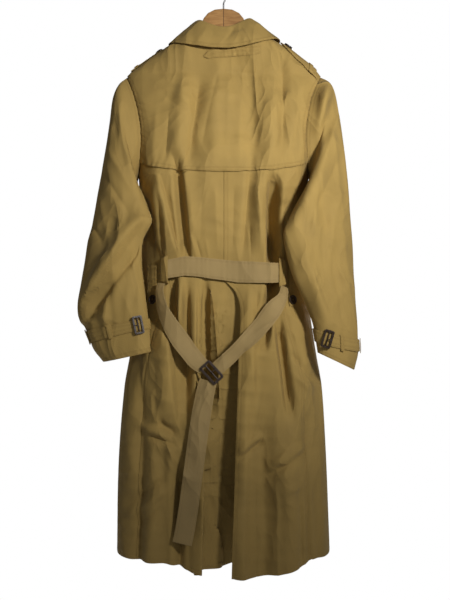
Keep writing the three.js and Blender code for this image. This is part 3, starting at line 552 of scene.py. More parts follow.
def cloth_material(name, colour, insets=(0.0015, 0.008), roughness=0.8):
    """Gabardine in one colour, with a row of stitches at each inset from the cloth's sewn edges and painted
    shade in each stitch groove.
    """
    material, tree, skin = new_material(name)
    skin.inputs["Sheen Weight"].default_value = 0.06
    skin.inputs["Sheen Roughness"].default_value = 0.5
    skin.inputs["Sheen Tint"].default_value = (1, 0.86, 0.6, 1)
    skin.inputs["Specular IOR Level"].default_value = 0.3
    hue = tree.nodes.new("ShaderNodeGroup")
    hue.node_tree = tone
    hue.inputs["Colour"].default_value = (*colour, 1)
    weave = tree.nodes.new("ShaderNodeGroup")
    weave.node_tree = twill
    uv = add_node(tree, "UVMap")
    link(tree, uv.outputs[0], weave.inputs["UV"])
    base, height = hue.outputs["Colour"], None
    crumple = add_node(tree, "Bump", Strength=0.9, Distance=0.012)
    link(tree, hue.outputs["Crumple"], crumple.inputs["Height"])
    bump = add_node(tree, "Bump", Strength=0.35, Distance=0.0003)
    link(tree, weave.outputs["Height"], bump.inputs["Height"])
    link(tree, crumple.outputs[0], bump.inputs["Normal"])
    edge, run = add_node(tree, "Attribute"), add_node(tree, "Attribute")
    edge.attribute_name, run.attribute_name = "edge", "run"
    for inset in insets:
        sewn = tree.nodes.new("ShaderNodeGroup")
        sewn.node_tree = stitch
        sewn.inputs["Inset"].default_value = inset
        link(tree, edge.outputs["Fac"], sewn.inputs["Edge"])
        link(tree, run.outputs["Fac"], sewn.inputs["Run"])
        red, green, blue = colour
        # Painted shade: the colour is darkened along each stitch groove, where shade falls in the recess.
        dark = add_node(tree, "MixRGB", Color2=(red * 0.42, green * 0.38, blue * 0.34, 1))
        link(tree, maths(tree, "MULTIPLY", sewn.outputs["Groove"], 0.25), dark.inputs["Fac"])
        link(tree, base, dark.inputs["Color1"])
        thread = add_node(tree, "MixRGB", Color2=(red * 1.25, green * 1.22, blue * 1.2, 1))
        link(tree, maths(tree, "MULTIPLY", sewn.outputs["Thread"], 0.75), thread.inputs["Fac"])
        link(tree, dark.outputs[0], thread.inputs["Color1"])
        base = thread.outputs[0]
        groove = maths(tree, "MULTIPLY", sewn.outputs["Groove"], 0.9)
        lift = maths(tree, "SUBTRACT", sewn.outputs["Thread"], groove)
        height = lift if height is None else maths(tree, "ADD", height, lift)
    if height is not None:
        sunk = add_node(tree, "Bump", Strength=0.6, Distance=0.0007)
        link(tree, height, sunk.inputs["Height"])
        link(tree, bump.outputs[0], sunk.inputs["Normal"])
        bump = sunk
    link(tree, bump.outputs[0], skin.inputs["Normal"])
    link(tree, base, skin.inputs["Base Color"])
    rough = maths(tree, "ADD", maths(tree, "MULTIPLY", hue.outputs["Cloud"], 0.16), roughness - 0.08)
    link(tree, rough, skin.inputs["Roughness"])
    return material


KHAKI = (0.36, 0.236, 0.066)
gabardine = cloth_material("khaki gabardine", KHAKI)


def cloth(name, points, normals, outer=WALL, thick=1.5, closed=False, sewn="", pucker=0.0, material=None):
    """A thin shell of cloth over a grid of places, with its outer face a distance out along their normals.
    Sewn names its stitched edges: l and r are the first and last columns, t and b the first and last rows."""
    rows, columns = points.shape[:2]
    steps_u = np.linalg.norm(np.diff(points, axis=1), axis=2)
    steps_v = np.linalg.norm(np.diff(points, axis=0), axis=2)
    u = np.concatenate([np.zeros((rows, 1)), np.cumsum(steps_u, axis=1)], axis=1)
    v = np.concatenate([np.zeros((1, columns)), np.cumsum(steps_v, axis=0)], axis=0)
    reach = {"l": u, "r": u[:, -1:] - u, "t": v, "b": v[-1:] - v}
    edge, run = np.full((rows, columns), 999.0), np.zeros((rows, columns))
    for side in sewn:
        nearer = reach[side] < edge
        edge = np.where(nearer, reach[side], edge)
        run = np.where(nearer, v if side in "lr" else u, run)
    seed = sum(map(ord, name))
    if pucker and sewn:
        wave = np.sin(run / 2.1 + 2.2 * np.sin(run / 17 + seed) + 1.3 * np.sin(run / 7.7))
        points = points + normals * (pucker * np.exp(-edge / 11) * wave * smooth(edge / 3 + 0.4))[..., None]
    width = np.ones((rows, columns))
    if not closed:
        width[:, 0] = width[:, -1] = 0.4
    width[0] = width[-1] = 0.4
    middle = outer - thick / 2
    shells = [points + normals * (middle + s * width * thick / 2)[..., None] for s in (1, -1)]
    place = np.concatenate([s.reshape(-1, 3) for s in shells]) * MM
    count = rows * columns
    wide = columns if closed else columns - 1
    i, j = np.meshgrid(np.arange(rows - 1) * columns, np.arange(wide), indexing="ij")
    k = (j + 1) % columns
    quads = np.stack([i + j, i + columns + j, i + columns + k, i + k], -1).reshape(-1, 4)
    faces = [quads, quads[:, ::-1] + count]
    first, last = ((start + j[0], start + k[0]) for start in (0, (rows - 1) * columns))
    rims = [first, last[::-1]]
    if not closed:
        left = np.arange(rows - 1) * columns
        right = left + columns - 1
        rims += [(left + columns, left), (right, right + columns)]
    faces += [np.stack([a, b, b + count, a + count], -1) for a, b in rims]
    faces = np.concatenate(faces)
    q = place[quads]
    ahead = np.cross(q[:, 2] - q[:, 0], q[:, 3] - q[:, 1])
    facing = np.sum(ahead * normals.reshape(-1, 3)[quads[:, 0]], axis=1)
    if np.median(facing) < 0:
        faces = faces[:, ::-1]
    mesh = bpy.data.meshes.new(name)
    mesh.from_pydata(place.tolist(), [], faces.tolist())
    flat = mesh.uv_layers.new(name="UVMap")
    corner = np.empty(len(mesh.loops), dtype=np.int32)
    mesh.loops.foreach_get("vertex_index", corner)
    uv = np.stack([np.tile(u.ravel(), 2), np.tile(v.ravel(), 2)], -1) * MM
    flat.data.foreach_set("uv", uv[corner].ravel())
    for label, values in (("edge", edge), ("run", run)):
        layer = mesh.attributes.new(label, "FLOAT", "POINT")
        layer.data.foreach_set("value", np.tile(values.ravel(), 2) * MM)
    piece = bpy.data.objects.new(name, mesh)
    bpy.context.collection.objects.link(piece)
    mesh.materials.append(material or gabardine)
    mesh.shade_smooth()
    mesh.set_sharp_from_angle(angle=math.radians(60))
    # The cut is read past the few rows and columns that run through the deepest folds.
    piece["cut_width"] = float(np.percentile(u[:, -1], 85) * MM)
    piece["cut_length"] = float(np.median(v[-1]) * MM)
    q = points[:-1, :-1], points[1:, :-1], points[1:, 1:], points[:-1, 1:]
    twice = np.linalg.norm(np.cross(q[2] - q[0], q[3] - q[1]), axis=-1)
    piece["cut_area"] = float(np.sum(twice) / 2 * MM * MM)
    return piece


def grid_normals(points, closed=False, flip=1):
    if closed:
        across = np.roll(points, -1, 1) - np.roll(points, 1, 1)
    else:
        across = np.gradient(points, axis=1)
    return unit(np.cross(across, np.gradient(points, axis=0))) * flip


def sew(piece, node):
    """Puts a cloth piece in its node's place and hides the node's part; the flat size that it is cut to is
    read and bounded, but not kept.
    """
    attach(piece, "root")
    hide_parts(node)
    width, length, area = (piece[key] for key in ("cut_width", "cut_length", "cut_area"))
    width = max(width, 0.0101)
    area = min(max(area, 0.31 * width * length), width * length)
    return piece


def back_panel(side, rows=270, columns=132):
    level, column = np.meshgrid(np.linspace(NECK_Z, HEM_Z, rows), np.linspace(0, 1, columns), indexing="ij")
    z = row_level(level, column, side)
    points, normals = body_place(back_angle(side, z, column), z)
    if side < 0:
        turned_in = smooth((points[..., 0] + 72) / 68)
        points = points - normals * (read(VENT, "recess", z) * turned_in)[..., None]
    return points, normals


bpy.ops.object.select_all(action="DESELECT")
sew(cloth("back_panel_left", *back_panel(-1), sewn="rb", pucker=0.2), "back_left")
sew(cloth("back_panel_right", *back_panel(1), sewn="lrb", pucker=0.2), "back_right")


# Storm flap: a loose second layer over the shoulders, sewn in with the neck, shoulder and armhole seams.
# Its lower edge hangs free, with two rows of stitching that pucker it.
FLAP_LIFT = WALL + 0.8
level, column = np.meshgrid(np.linspace(NECK_Z, FLAP_Z, 84), np.linspace(-1, 1, 200), indexing="ij")
side = np.where(column < 0, -1, 1)
z = row_level(level, np.abs(column), side)
share = np.minimum(0.995, np.abs(column))
angle = np.where(side < 0, back_angle(-1, z, share), back_angle(1, z, share))
points, normals = body_place(angle, z)
lower = smooth((level + 360) / -64)
points = points + normals * (lower * (1.6 + 1.5 * ripple(9, points[..., 0], z, (38, 60))))[..., None]
sew(cloth("storm_cape", points, normals, FLAP_LIFT + WALL, sewn="blr", pucker=0.9), "storm_flap")


# Front panels, round from the side seams to a double-breasted front edge, the right one on top, and the
# lapels turned back on them. Both are cut from the same gabardine.
FRONT_NECK_X = 79
FRONT_NECK_DIP = 19
OVERLAP = 85
BREAK_Z = -420
OVER_LIFT = WALL + 1.5


def front_level(level, reach):
    neck = -FRONT_NECK_DIP * reach**1.5 * np.clip((level - SHOULDER_Z) / (NECK_Z - SHOULDER_Z), 0, 1)
    return level + neck + HEM_RISE * hem_share(level) - np.where(level < HEM_START_Z, 4 * reach, 0)


def front_edge_x(z):
    top = NECK_Z - FRONT_NECK_DIP
    return FRONT_NECK_X + (-OVERLAP - FRONT_NECK_X) * np.clip((z - top) / (BREAK_Z - top), 0, 1)


def front_panel(side, rows=230, columns=84):
    level, column = np.meshgrid(np.linspace(NECK_Z, HEM_Z, rows), np.linspace(0, 1, columns), indexing="ij")
    z = front_level(level, column)
    seam = seam_angle(front_level(level, 0))
    start = np.where((level <= SHOULDER_Z) & (level >= UNDERARM_Z), math.pi - seam, seam)
    lap = smooth((UNDERARM_Z - 30 - level) / 60)
    start = start + seam_shift(seam, z) * (1 - 9 * lap)
    x = front_edge_x(z)
    half = np.where(x * side < 0, read(FORM, "left", z), read(FORM, "right", z))
    points, normals = body_place(side * (start + (math.pi - np.arcsin(x / half) - start) * column), z)
    points = points - normals * (1.8 * lap * np.exp(-((column / 0.008) ** 2)))[..., None]
    if side > 0:
        over = smooth((OVERLAP + 45 - points[..., 0]) / 45) * smooth((NECK_Z - 60 - z) / 90)
        points = points + normals * (OVER_LIFT * over)[..., None]
    return points, normals


sew(cloth("front_panel_left", *front_panel(-1), sewn="rb", pucker=0.2), "front_left")
sew(cloth("front_panel_right", *front_panel(1), sewn="rb", pucker=0.2), "front_right")

LAPEL = table(
    "z width lift",
    (-178, 26, 0.7),
    (-215, 70, 1.2),
    (-240, 84, 1.5),
    (-300, 58, 1),
    (-360, 32, 0.8),
    (-408, 8, 0.7),
)
for side, word, lowest in ((-1, "left", -252), (1, "right", -395)):
    level, column = np.meshgrid(np.linspace(-190, lowest, 60), np.linspace(0, 1, 30), indexing="ij")
    x = front_edge_x(level) + 1 + read(LAPEL, "width", level) * column
    points, normals = body_place(side * (math.pi - np.arcsin(x / read(FORM, "right", level))), level)
    lift = WALL + (OVER_LIFT if side > 0 else 0) + read(LAPEL, "lift", level)
    points = points + normals * lift[..., None]
    lapel = cloth(f"lapel_fall_{word}", points, normals, sewn="r", pucker=0.3)
    sew(lapel, f"lapel_{word}")


# Sleeves: gabardine tubes set into the armholes, bent at the elbow. The right one is pushed in and the
# left one breaks into a deep fold at the elbow, with the cloth of the upper arm lapping over it.
ARM_ROWS = [-222, -233, -252, -282, -320, -360, -395, -424, -444, -455]
RAILS = {
    -1: table(
        "xo zo yo xi zi yi half",
        (-239, -240, -2, -201, -468, -14, 50),
        (-253, -272, -4, -193, -483, -34, 48),
        (-260, -330, -6, -185, -498, -52, 46),
        (-268, -394, -8, -177, -515, -68, 44),
        (-277, -459, -12, -171, -534, -80, 42),
        (-287, -520, -16, -165, -552, -88, 40),
        (-295, -562, -20, -162, -566, -92, 38),
        (-303, -601, -22, -180, -604, -90, 40),
        (-312, -650, -26, -184, -650, -92, 40),
        (-320, -705, -30, -178, -706, -94, 40),
        (-326, -775, -34, -170, -765, -98, 38),
        (-312, -800, -36, -167, -790, -100, 36),
        (-300, -826, -38, -165, -812, -102, 34),
        (-290, -850, -40, -164, -832, -104, 33),
        (-267, -876, -42, -163, -852, -106, 32),
    ),
    1: table(
        "xo zo yo xi zi yi half",
        (243, -236, -2, 200, -468, -14, 50),
        (256, -262, -4, 191, -484, -38, 48),
        (265, -312, -6, 178, -501, -62, 46),
        (272, -370, -8, 165, -523, -84, 44),
        (278, -430, -12, 153, -547, -98, 42),
        (283, -490, -16, 142, -570, -106, 40),
        (286, -548, -18, 135, -594, -110, 40),
        (289, -610, -22, 140, -630, -112, 40),
        (291, -680, -26, 152, -676, -112, 40),
        (293, -740, -30, 172, -720, -110, 42),
        (295, -784, -32, 188, -754, -108, 42),
        (295, -822, -34, 202, -788, -106, 42),
        (296, -853, -36, 208, -820, -104, 40),
        (285, -891, -38, 214, -856, -104, 38),
    ),
}
SLEEVE_FOLDS = {
    -1: table(
        FOLD,
        (-146, -522, -340, -792, 24, 24, 9),
        (-236, -640, -252, -800, 7, 14),
        (-250, -300, -215, -470, -6, 12),
        (-250, -690, -245, -810, -5, 9),
        (-136, -552, -330, -818, -15, 10),
        (-228, -250, -236, -420, 3, 9),
        (-205, -380, -196, -520, 3, 8),
        (-270, -380, -190, -520, 3, 9),
        (-285, -430, -200, -560, -3, 8),
        (-290, -470, -240, -640, 2.6, 8),
        (-300, -560, -262, -620, -3, 6),
        (-190, -600, -236, -720, 3, 7),
        (-180, -640, -200, -760, -3.4, 8),
        (-255, -700, -262, -800, 3, 6),
        (-205, -680, -214, -800, 2.6, 7),
        (-310, -760, -220, -790, 2.6, 7),
    ),
    1: table(
        FOLD,
        (232, -230, 208, -430, 13, 13),
        (272, -225, 172, -500, -19, 15, 0.6),
        (150, -560, 230, -820, 9, 18),
        (205, -470, 270, -760, -4, 10),
        (272, -290, 214, -450, 4, 7),
        (246, -350, 138, -600, 15, 10, 0.4),
        (268, -400, 190, -560, -3.4, 9),
        (278, -460, 220, -620, 3.2, 9),
        (190, -540, 216, -700, 3, 8),
        (256, -560, 284, -740, 3.2, 8),
        (236, -640, 262, -800, -3.2, 7),
        (170, -620, 240, -790, -3, 7),
        (282, -700, 230, -760, 2.6, 8),
        (262, -790, 292, -830, -3.4, 6),
        (226, -780, 286, -812, 2.6, 6),
    ),
}
RING_TURNS = [float(arm_turn(z)) for z in ARM_ROWS]
RING_TURNS += [2 * math.pi - t for t in RING_TURNS[-2:0:-1]] + [2 * math.pi]
RING = len(RING_TURNS) - 1


def through(stops, at):
    """A smooth curve through a list of stops, read at each place between them."""
    stops = np.asarray(stops, float)
    at = np.clip(at, 0, len(stops) - 1)
    i = np.minimum(np.floor(at).astype(int), len(stops) - 2)
    t = (at - i).reshape((-1,) + (1,) * (stops.ndim - 1))
    before, after = np.maximum(i - 1, 0), np.minimum(i + 2, len(stops) - 1)
    p0, p1, p2, p3 = stops[before], stops[i], stops[i + 1], stops[after]
    square = 2 * p0 - 5 * p1 + 4 * p2 - p3
    cubic = 3 * p1 - p0 - 3 * p2 + p3
    return 0.5 * (2 * p1 + (p2 - p0) * t + square * t**2 + cubic * t**3)


def sleeve_grid(side, around=108, steps=11):
    turn = np.interp(np.arange(around) * RING / around, np.arange(RING + 1), RING_TURNS)
    z = SHOULDER_Z - (1 - np.cos(turn)) / 2 * (SHOULDER_Z - UNDERARM_Z)
    seam = seam_angle(z)
    head, outward = body_place(side * np.where(turn > math.pi, math.pi - seam, seam), z)
    under = smooth((0.75 - np.abs(turn - math.pi)) / 0.6)
    head = head + np.array([side * 1.1, 0, -0.18]) + outward * (5.2 * under)[:, None]
    rings, faces = [head], []
    rise = np.sin(turn)
    for i, row in enumerate(RAILS[side]):
        outer = np.array([row["xo"], row["yo"], row["zo"]], float)
        inner = np.array([row["xi"], row["yi"], row["zi"]], float)
        rail = unit(outer - inner)
        face = unit(np.array([0, -1.0, 0]) + rail * rail[1])
        power = 0.8 + 0.2 * min(1, i / 3)
        bulge = np.sign(rise) * np.abs(rise) ** power * np.where(rise < 0, 0.75, 1)
        chord = np.cos(turn)[:, None] * (outer - inner) / 2
        rings.append((outer + inner) / 2 + chord + face * (row["half"] * bulge)[:, None])
        faces.append(face)
    at = np.linspace(0, len(rings) - 1, (len(rings) - 1) * steps + 1)
    points = through(rings, at)
    face = through([faces[0], *faces], at)[:, None, :]
    out = fold_out(SLEEVE_FOLDS[side], points[..., 0], points[..., 2])
    out = out + 5 * crumple(20 + side, points[..., 0] * 0.7 + points[..., 1], points[..., 2], (80, 150))
    shown = np.where(rise > 0, smooth(rise * 2), -0.7 * smooth(-rise * 2))
    points = points + face * (out * shown * smooth(at / 1.2)[:, None])[..., None]
    normals = grid_normals(points, closed=True, flip=side)
    blend = ((1 - under) * np.clip(1 - at / 1.5, 0, 1)[:, None])[..., None]
    return points, unit(normals * (1 - blend) + outward * blend)


sleeves = {side: sleeve_grid(side) for side in (-1, 1)}
for side, word in ((-1, "left"), (1, "right")):
    sew(cloth(f"sleeve_tube_{word}", *sleeves[side], closed=True, sewn="tb", pucker=0.6), f"sleeve_{word}")


# Cuff straps: a folded strip of gabardine round each sleeve, held by two loops, with a covered buckle at
# the back of the arm.
def sleeve_at(side, ring, column):
    """Places on a sleeve, by its ring and its place round the ring."""
    points, normals = sleeves[side]
    rows, around = points.shape[:2]
    i = np.clip(ring * (rows - 1) / len(RAILS[side]), 0, rows - 1.001)
    j = (column * around / RING) % around
    i0, j0 = i.astype(int), j.astype(int)
    s, t = (i - i0)[..., None], (j - j0)[..., None]
    i1, j1, j0 = i0 + 1, (j0 + 1) % around, j0 % around
    return [
        (a[i0, j0] * (1 - t) + a[i0, j1] * t) * (1 - s) + (a[i1, j0] * (1 - t) + a[i1, j1] * t) * s
        for a in (points, normals)
    ]


CUFF = {
    -1: {"outer": 12.85, "inner": 12, "width": 1.05, "loops": (1.4, 4.6), "buckle": 7.5},
    1: {"outer": 12.5, "inner": 12.85, "width": 0.85, "loops": (1.4, 5.6), "buckle": 7.5},
}
STRAP_OUT = WALL + 0.8 + 2.4


def cuff_ring(side, column, share):
    inward = (1 - np.cos(column / RING * 2 * math.pi)) / 2
    cuff = CUFF[side]
    return cuff["outer"] + (cuff["inner"] - cuff["outer"]) * inward + cuff["width"] * share


for side, word in ((-1, "left"), (1, "right")):
    share, column = np.meshgrid(np.linspace(-0.5, 0.5, 15), np.arange(120) * RING / 120, indexing="ij")
    points, normals = sleeve_at(side, cuff_ring(side, column, share), column)
    name = f"cuff_band_{word}"
    strap = cloth(name, points, unit(normals), STRAP_OUT, 1.8, closed=True, sewn="tb", pucker=0.25)
    sew(strap, f"cuff_strap_{word}")
    for k, middle in enumerate(CUFF[side]["loops"]):
        share, step = np.meshgrid(np.linspace(-0.62, 0.62, 20), np.linspace(-0.22, 0.22, 9), indexing="ij")
        column = middle + step
        points, normals = sleeve_at(side, cuff_ring(side, column, share), column)
        keeper = cloth(f"cuff_keeper_{word}_{k + 1}", points, unit(normals), STRAP_OUT + 2.4, 1.4, sewn="lr")
        sew(keeper, f"cuff_loop_{word}_{k + 1}")


# Collar: a stand and a fall in one folded piece, interfaced and topstitched, with a throat latch of
# doubled cloth that lies below it.
COLLAR = [
    (83, 45, -123.5, -148.6),
    (70, 41, -110, -136),
    (59, 39, -95, -121),
    (63, 43, -93, -119),
    (81, 50, -106, -132),
    (103, 58, -126, -149),
    (129, 64, -147, -171),
]
COLLAR_END = 2.25
around = np.linspace(-COLLAR_END, COLLAR_END, 150)
rises = np.linspace(0, 6, 61)
half, depth, z_side, z_back = (c[:, None] for c in through(COLLAR, rises).T)
sine, cosine = np.sin(around), np.cos(around)
forward = np.clip(cosine / math.cos(COLLAR_END), 0, 1)
down = (rises / 6)[:, None]
z = z_side + (z_back - z_side) * np.maximum(0, cosine) ** 2
z = z - forward**2 * (20 + 20 * down) + 9 * smooth(sine) * down
x = 2 + half * sine + 0 * z
y = -depth * (1 + 0.3 * forward) * cosine * (1 + 0.3 * sine**2)
points = np.stack([x, y, z], -1)
normals = grid_normals(points, flip=-1)
sag = 0
for deep, at, half_width in ((2.2, 12, 26), (1.6, -30, 14), (-1.4, -58, 10)):
    sag = sag + deep * np.exp(-(((x - at) / half_width) ** 2))
crease = fold_out(
    table(
        FOLD,
        (26, -118, 2, -156, -2.4, 6),
        (-34, -120, -60, -160, 2, 9),
        (64, -110, 92, -150, -2, 8),
        (-80, -112, -112, -150, 1.8, 9),
        (36, -124, 50, -160, 1.8, 8),
    ),
    x,
    z,
)
fall = smooth((rises - 2.6) / 1)[:, None] * (cosine > 0)
points = points + normals * ((crease - sag + 0.8 * ripple(3, x, z, (36, 40))) * fall)[..., None]
collar = cloth("collar_fold", points, normals, WALL, 1.6, sewn="lrb", pucker=0.45)
sew(collar, "collar")

LATCH = table(
    "x high low",
    (-44, -182, -186),
    (-34, -172, -190),
    (-20, -168, -187),
    (10, -166, -185),
    (40, -165, -183),
    (68, -163, -181),
    (86, -162, -178),
)
x = np.linspace(LATCH[0]["x"], LATCH[-1]["x"], 60)[:, None]
high, low_edge = (np.interp(x, [r["x"] for r in LATCH], [r[key] for r in LATCH]) for key in ("high", "low"))
z = high + (low_edge - high) * np.linspace(0, 1, 11)
points, normals = back_at(x + 0 * z, z)
points = points + normals * (0.9 * ripple(6, x + 0 * z, z, (16, 30)))[..., None]
latch = cloth("throat_tab", points, normals, FLAP_LIFT + WALL + 2.8, 1.8, sewn="tlrb", pucker=0.3)
sew(latch, "throat_latch")


# Epaulettes: doubled straps sewn into the armhole seams and buttoned at the pointed neck end, each under
# a narrow loop.
EPAULETTE = table(
    "x width",
    (127, 0.15),
    (134, 0.6),
    (143, 0.86),
    (160, 0.92),
    (178, 0.96),
    (194, 1),
    (210, 1),
)
EPAULETTE_TIP, EPAULETTE_SEAM = EPAULETTE[0]["x"], EPAULETTE[-1]["x"]
EPAULETTE_BUTTON_X = 143
EPAULETTE_REACH = {-1: (-36, 7), 1: (-7, 35)}
EPAULETTE_LIFT = FLAP_LIFT + WALL + 1.4
EPAULETTE_OUT = EPAULETTE_LIFT + 2.6


def ridge_strip(side, x, share):
    """Places along the shoulder ridge at each x, and across it by distance, positive down the back."""
    key = "left" if side < 0 else "right"
    top, low = np.full(x.shape, float(NECK_Z)), np.full(x.shape, float(SHOULDER_Z))
    for _ in range(24):
        middle = (top + low) / 2
        above = read(FORM, key, middle) < x
        top, low = np.where(above, middle, top), np.where(above, low, middle)
    drop = np.concatenate([np.linspace(0, 3, 13), np.linspace(3.5, 50, 94)])
    z = low[:, None] - drop
    lean = np.arcsin(np.minimum(1, x[:, None] / read(FORM, key, z)))
    start, end = EPAULETTE_REACH[side]
    wide = np.interp(x, [r["x"] for r in EPAULETTE], [r["width"] for r in EPAULETTE])[:, None]
    distance = (start + end) / 2 + share * (end - start) / 2 * wide
    points = np.zeros(distance.shape + (3,))
    for sign, angle in ((1, side * lean), (-1, side * (math.pi - lean))):
        walk = body_point(angle, z)
        steps = np.linalg.norm(np.diff(walk, axis=1), axis=2)
        gone = np.concatenate([np.zeros((len(x), 1)), np.cumsum(steps, axis=1)], axis=1)
        for row in range(len(x)):
            wanted = np.abs(distance[row])
            here = np.stack([np.interp(wanted, gone[row], walk[row, :, axis]) for axis in range(3)], -1)
            keep = distance[row] * sign >= 0
            points[row, keep] = here[keep]
    return points


def strip_normals(points, side):
    normals = grid_normals(points, flip=1)
    return normals * (1 if np.mean(normals[..., 2]) > 0 else -1)


epaulette_tops = {}
for side, word in ((-1, "left"), (1, "right")):
    share = np.linspace(-1, 1, 21)
    points = ridge_strip(side, np.linspace(EPAULETTE_TIP, EPAULETTE_SEAM, 56), share)
    normals = strip_normals(points, side)
    epaulette_tops[side] = points, normals
    name = f"epaulette_strap_{word}"
    strap = cloth(name, points, normals, EPAULETTE_OUT, 2.2, sewn="lrt", pucker=0.3)
    sew(strap, f"epaulette_{word}")
    points = ridge_strip(side, np.linspace(192, 201, 7), share * 1.06)
    normals = strip_normals(points, side)
    keeper = cloth(f"epaulette_keeper_{word}", points, normals, EPAULETTE_LIFT + 4.5, 1.4, sewn="tb")
    sew(keeper, f"epaulette_loop_{word}")


# Belt: a separate doubled band of slightly greyer gabardine. It bridges the folds of the back, runs
# through a loop on each side, and its ends hang and join in the buckle below, with the long end down.
belt_cloth = cloth_material("belt gabardine", (0.34, 0.235, 0.092), insets=(0.004,), roughness=0.76)
BELT_LIFT = 8
BELT_OUT = BELT_LIFT + 3
BELT_LOOP_X = 131
BELT_LOOP_HALF = 8.5
BELT = table(
    "x z half",
    (-136, -674, 20),
    (-118, -669, 21),
    (-85, -663, 22),
    (-55, -665, 22),
    (-28, -669, 23),
    (0, -672, 23),
    (30, -676, 24),
    (65, -677, 24),
    (98, -678, 23),
    (120, -678, 22),
    (136, -677, 21),
)
x = np.linspace(BELT[0]["x"], BELT[-1]["x"], 160)[:, None]
middle, half = (np.interp(x, [r["x"] for r in BELT], [r[key] for r in BELT]) for key in ("z", "half"))
z = middle + half * np.linspace(1, -1, 21)
points, normals = back_at(x + 0 * z, z, False)
wave = ripple(31, x + 0 * z, z * 0.3, (60, 80)) * 1.6 - 1.4 * np.exp(-(((x - 8) / 30) ** 2)) + 0 * z
points = points + normals * wave[..., None]
band = cloth("belt_back", points, normals, BELT_OUT, 2.4, sewn="lr", pucker=0.35, material=belt_cloth)
sew(band, "belt_band")

STRAPS = {
    "belt_strap_left": (
        (-138, -701.5, 11, 8, 20),
        (-141, -720, 19, 10, 28),
        (-134, -756, 22, 14, 25),
        (-117, -790, 22, 18, 15),
        (-98, -820, 22, 20, 0),
        (-78, -848, 20, 20, -20),
        (-60, -870, 19, 19, -8),
        (-42, -886, 18, 16, 0),
    ),
    "belt_strap_right": (
        (-17, -890, 18, 15, 0),
        (10, -866, 18, 16, 12),
        (34, -842, 20, 16, 20),
        (60, -818, 20, 18, 0),
        (86, -790, 20, 19, -15),
        (110, -758, 22, 19, 0),
        (130, -732, 21, 13, 25),
        (135, -709.5, 12.4, 8, 20),
    ),
    "belt_tail": (
        (-33, -914, 17, 19, 0),
        (-40, -942, 17, 20, 0),
        (-50, -1000, 18, 21, 4),
        (-60, -1070, 18, 21, 0),
        (-68, -1130, 18, 21, -6),
        (-76, -1190, 18, 21, -3),
        (-84, -1240, 18, 21, 3),
        (-90, -1268, 18, 21, 3),
    ),
}


def turned(vector, axis, degrees):
    angle = np.radians(degrees)[:, None]
    dot = np.sum(vector * axis, axis=-1, keepdims=True)
    return vector * np.cos(angle) + np.cross(axis, vector) * np.sin(angle) + axis * dot * (1 - np.cos(angle))


def strip(stations, thick, step=4.0, across=15, cup=0.0):
    """A flat strip along stations of x, y, z, half width and turn, as places and normals."""
    stations = np.array(stations, float)
    length = np.sum(np.linalg.norm(np.diff(stations[:, :3], axis=0), axis=1))
    at = np.linspace(0, len(stations) - 1, max(12, int(length / step)))
    x, y, z, half, turn = through(stations, at).T
    path = np.stack([x, y, z], -1)
    ahead = unit(np.gradient(path, axis=0))
    face = unit(np.array([0, -1.0, 0]) + ahead * ahead[:, 1:2])
    face = turned(face, ahead, turn)
    side = np.cross(ahead, face)
    share = np.linspace(-1, 1, across)[:, None]
    points = path[:, None] + side[:, None] * (half[:, None, None] * share)
    points = points + face[:, None] * (cup * (share**2 - 0.5))
    return points, unit(face[:, None] + side[:, None] * (-2 * cup * share / half[:, None, None]))


def hung(rows):
    """The stations of a strap that hangs clear of the unfolded back."""
    stations = []
    for x, z, clear, half, turn in rows:
        back = back_at(np.array(x), np.array(z), False)[0]
        stations.append((x, float(back[1]) - clear, z, half, turn))
    return stations


for node, rows in STRAPS.items():
    points, normals = strip(hung(rows), 3, cup=-1.2)
    run = np.cumsum(np.ones(len(points)))[:, None] * 4
    wave = ripple(len(rows) + len(node), run, np.linspace(0, 40, 15)[None], (70, 50))
    points = points + normals * (0.9 * wave)[..., None]
    hanging = cloth(node + "_cloth", points, normals, 3, 2.4, sewn="lr", pucker=0.3, material=belt_cloth)
    sew(hanging, node)

for side, word, high, low_end in ((-1, "left", -643, -699), (1, "right", -646, -706)):
    x = side * BELT_LOOP_X
    base, over = WALL + 2.4, BELT_OUT + 0.6
    middle = (high + low_end) / 2
    levels = ((high, base), (high - 3, over), (middle, over), (low_end + 3, over), (low_end, base))
    stations = []
    for z, lift in levels:
        point = back_at(np.array(float(x)), np.array(float(z)), bool(lift == base))[0]
        plain = back_at(np.array(float(x)), np.array(float(z)), False)[1]
        turn = -math.degrees(math.atan2(plain[0], -plain[1]))
        stations.append((x, point[1] - lift / abs(plain[1]), z, BELT_LOOP_HALF, turn))
    points, normals = strip(stations, 1.6, step=1.5, across=9)
    keeper = cloth(f"belt_keeper_{word}", points, normals, 1.6, 1.4, sewn="lr")
    sew(keeper, f"belt_loop_{word}")


# Pocket welts: stiff doubled flaps over the slanting pockets, each buttoned at its pointed lower end.
WELT_OUT = WALL + 0.9 + 2.6
WELT = table(
    "z start end",
    (-659, 48, 59),
    (-690, 47.5, 59),
    (-720, 47, 58),
    (-742, 46.5, 55),
    (-753, 47, 50),
)
for side, word in ((-1, "left"), (1, "right")):
    z = np.linspace(WELT[0]["z"], WELT[-1]["z"], 44)[:, None]
    levels = [-r["z"] for r in WELT]
    start, end = (np.interp(-z, levels, [r[key] for r in WELT]) for key in ("start", "end"))
    share = np.linspace(0, 1, 19)
    points, normals = body_place(side * np.radians(start + (end - start) * share), z + 0 * share)
    welt = cloth(f"pocket_flap_{word}", points, normals, WELT_OUT, 2.2, sewn="lrb", pucker=0.3)
    sew(welt, f"pocket_welt_{word}")


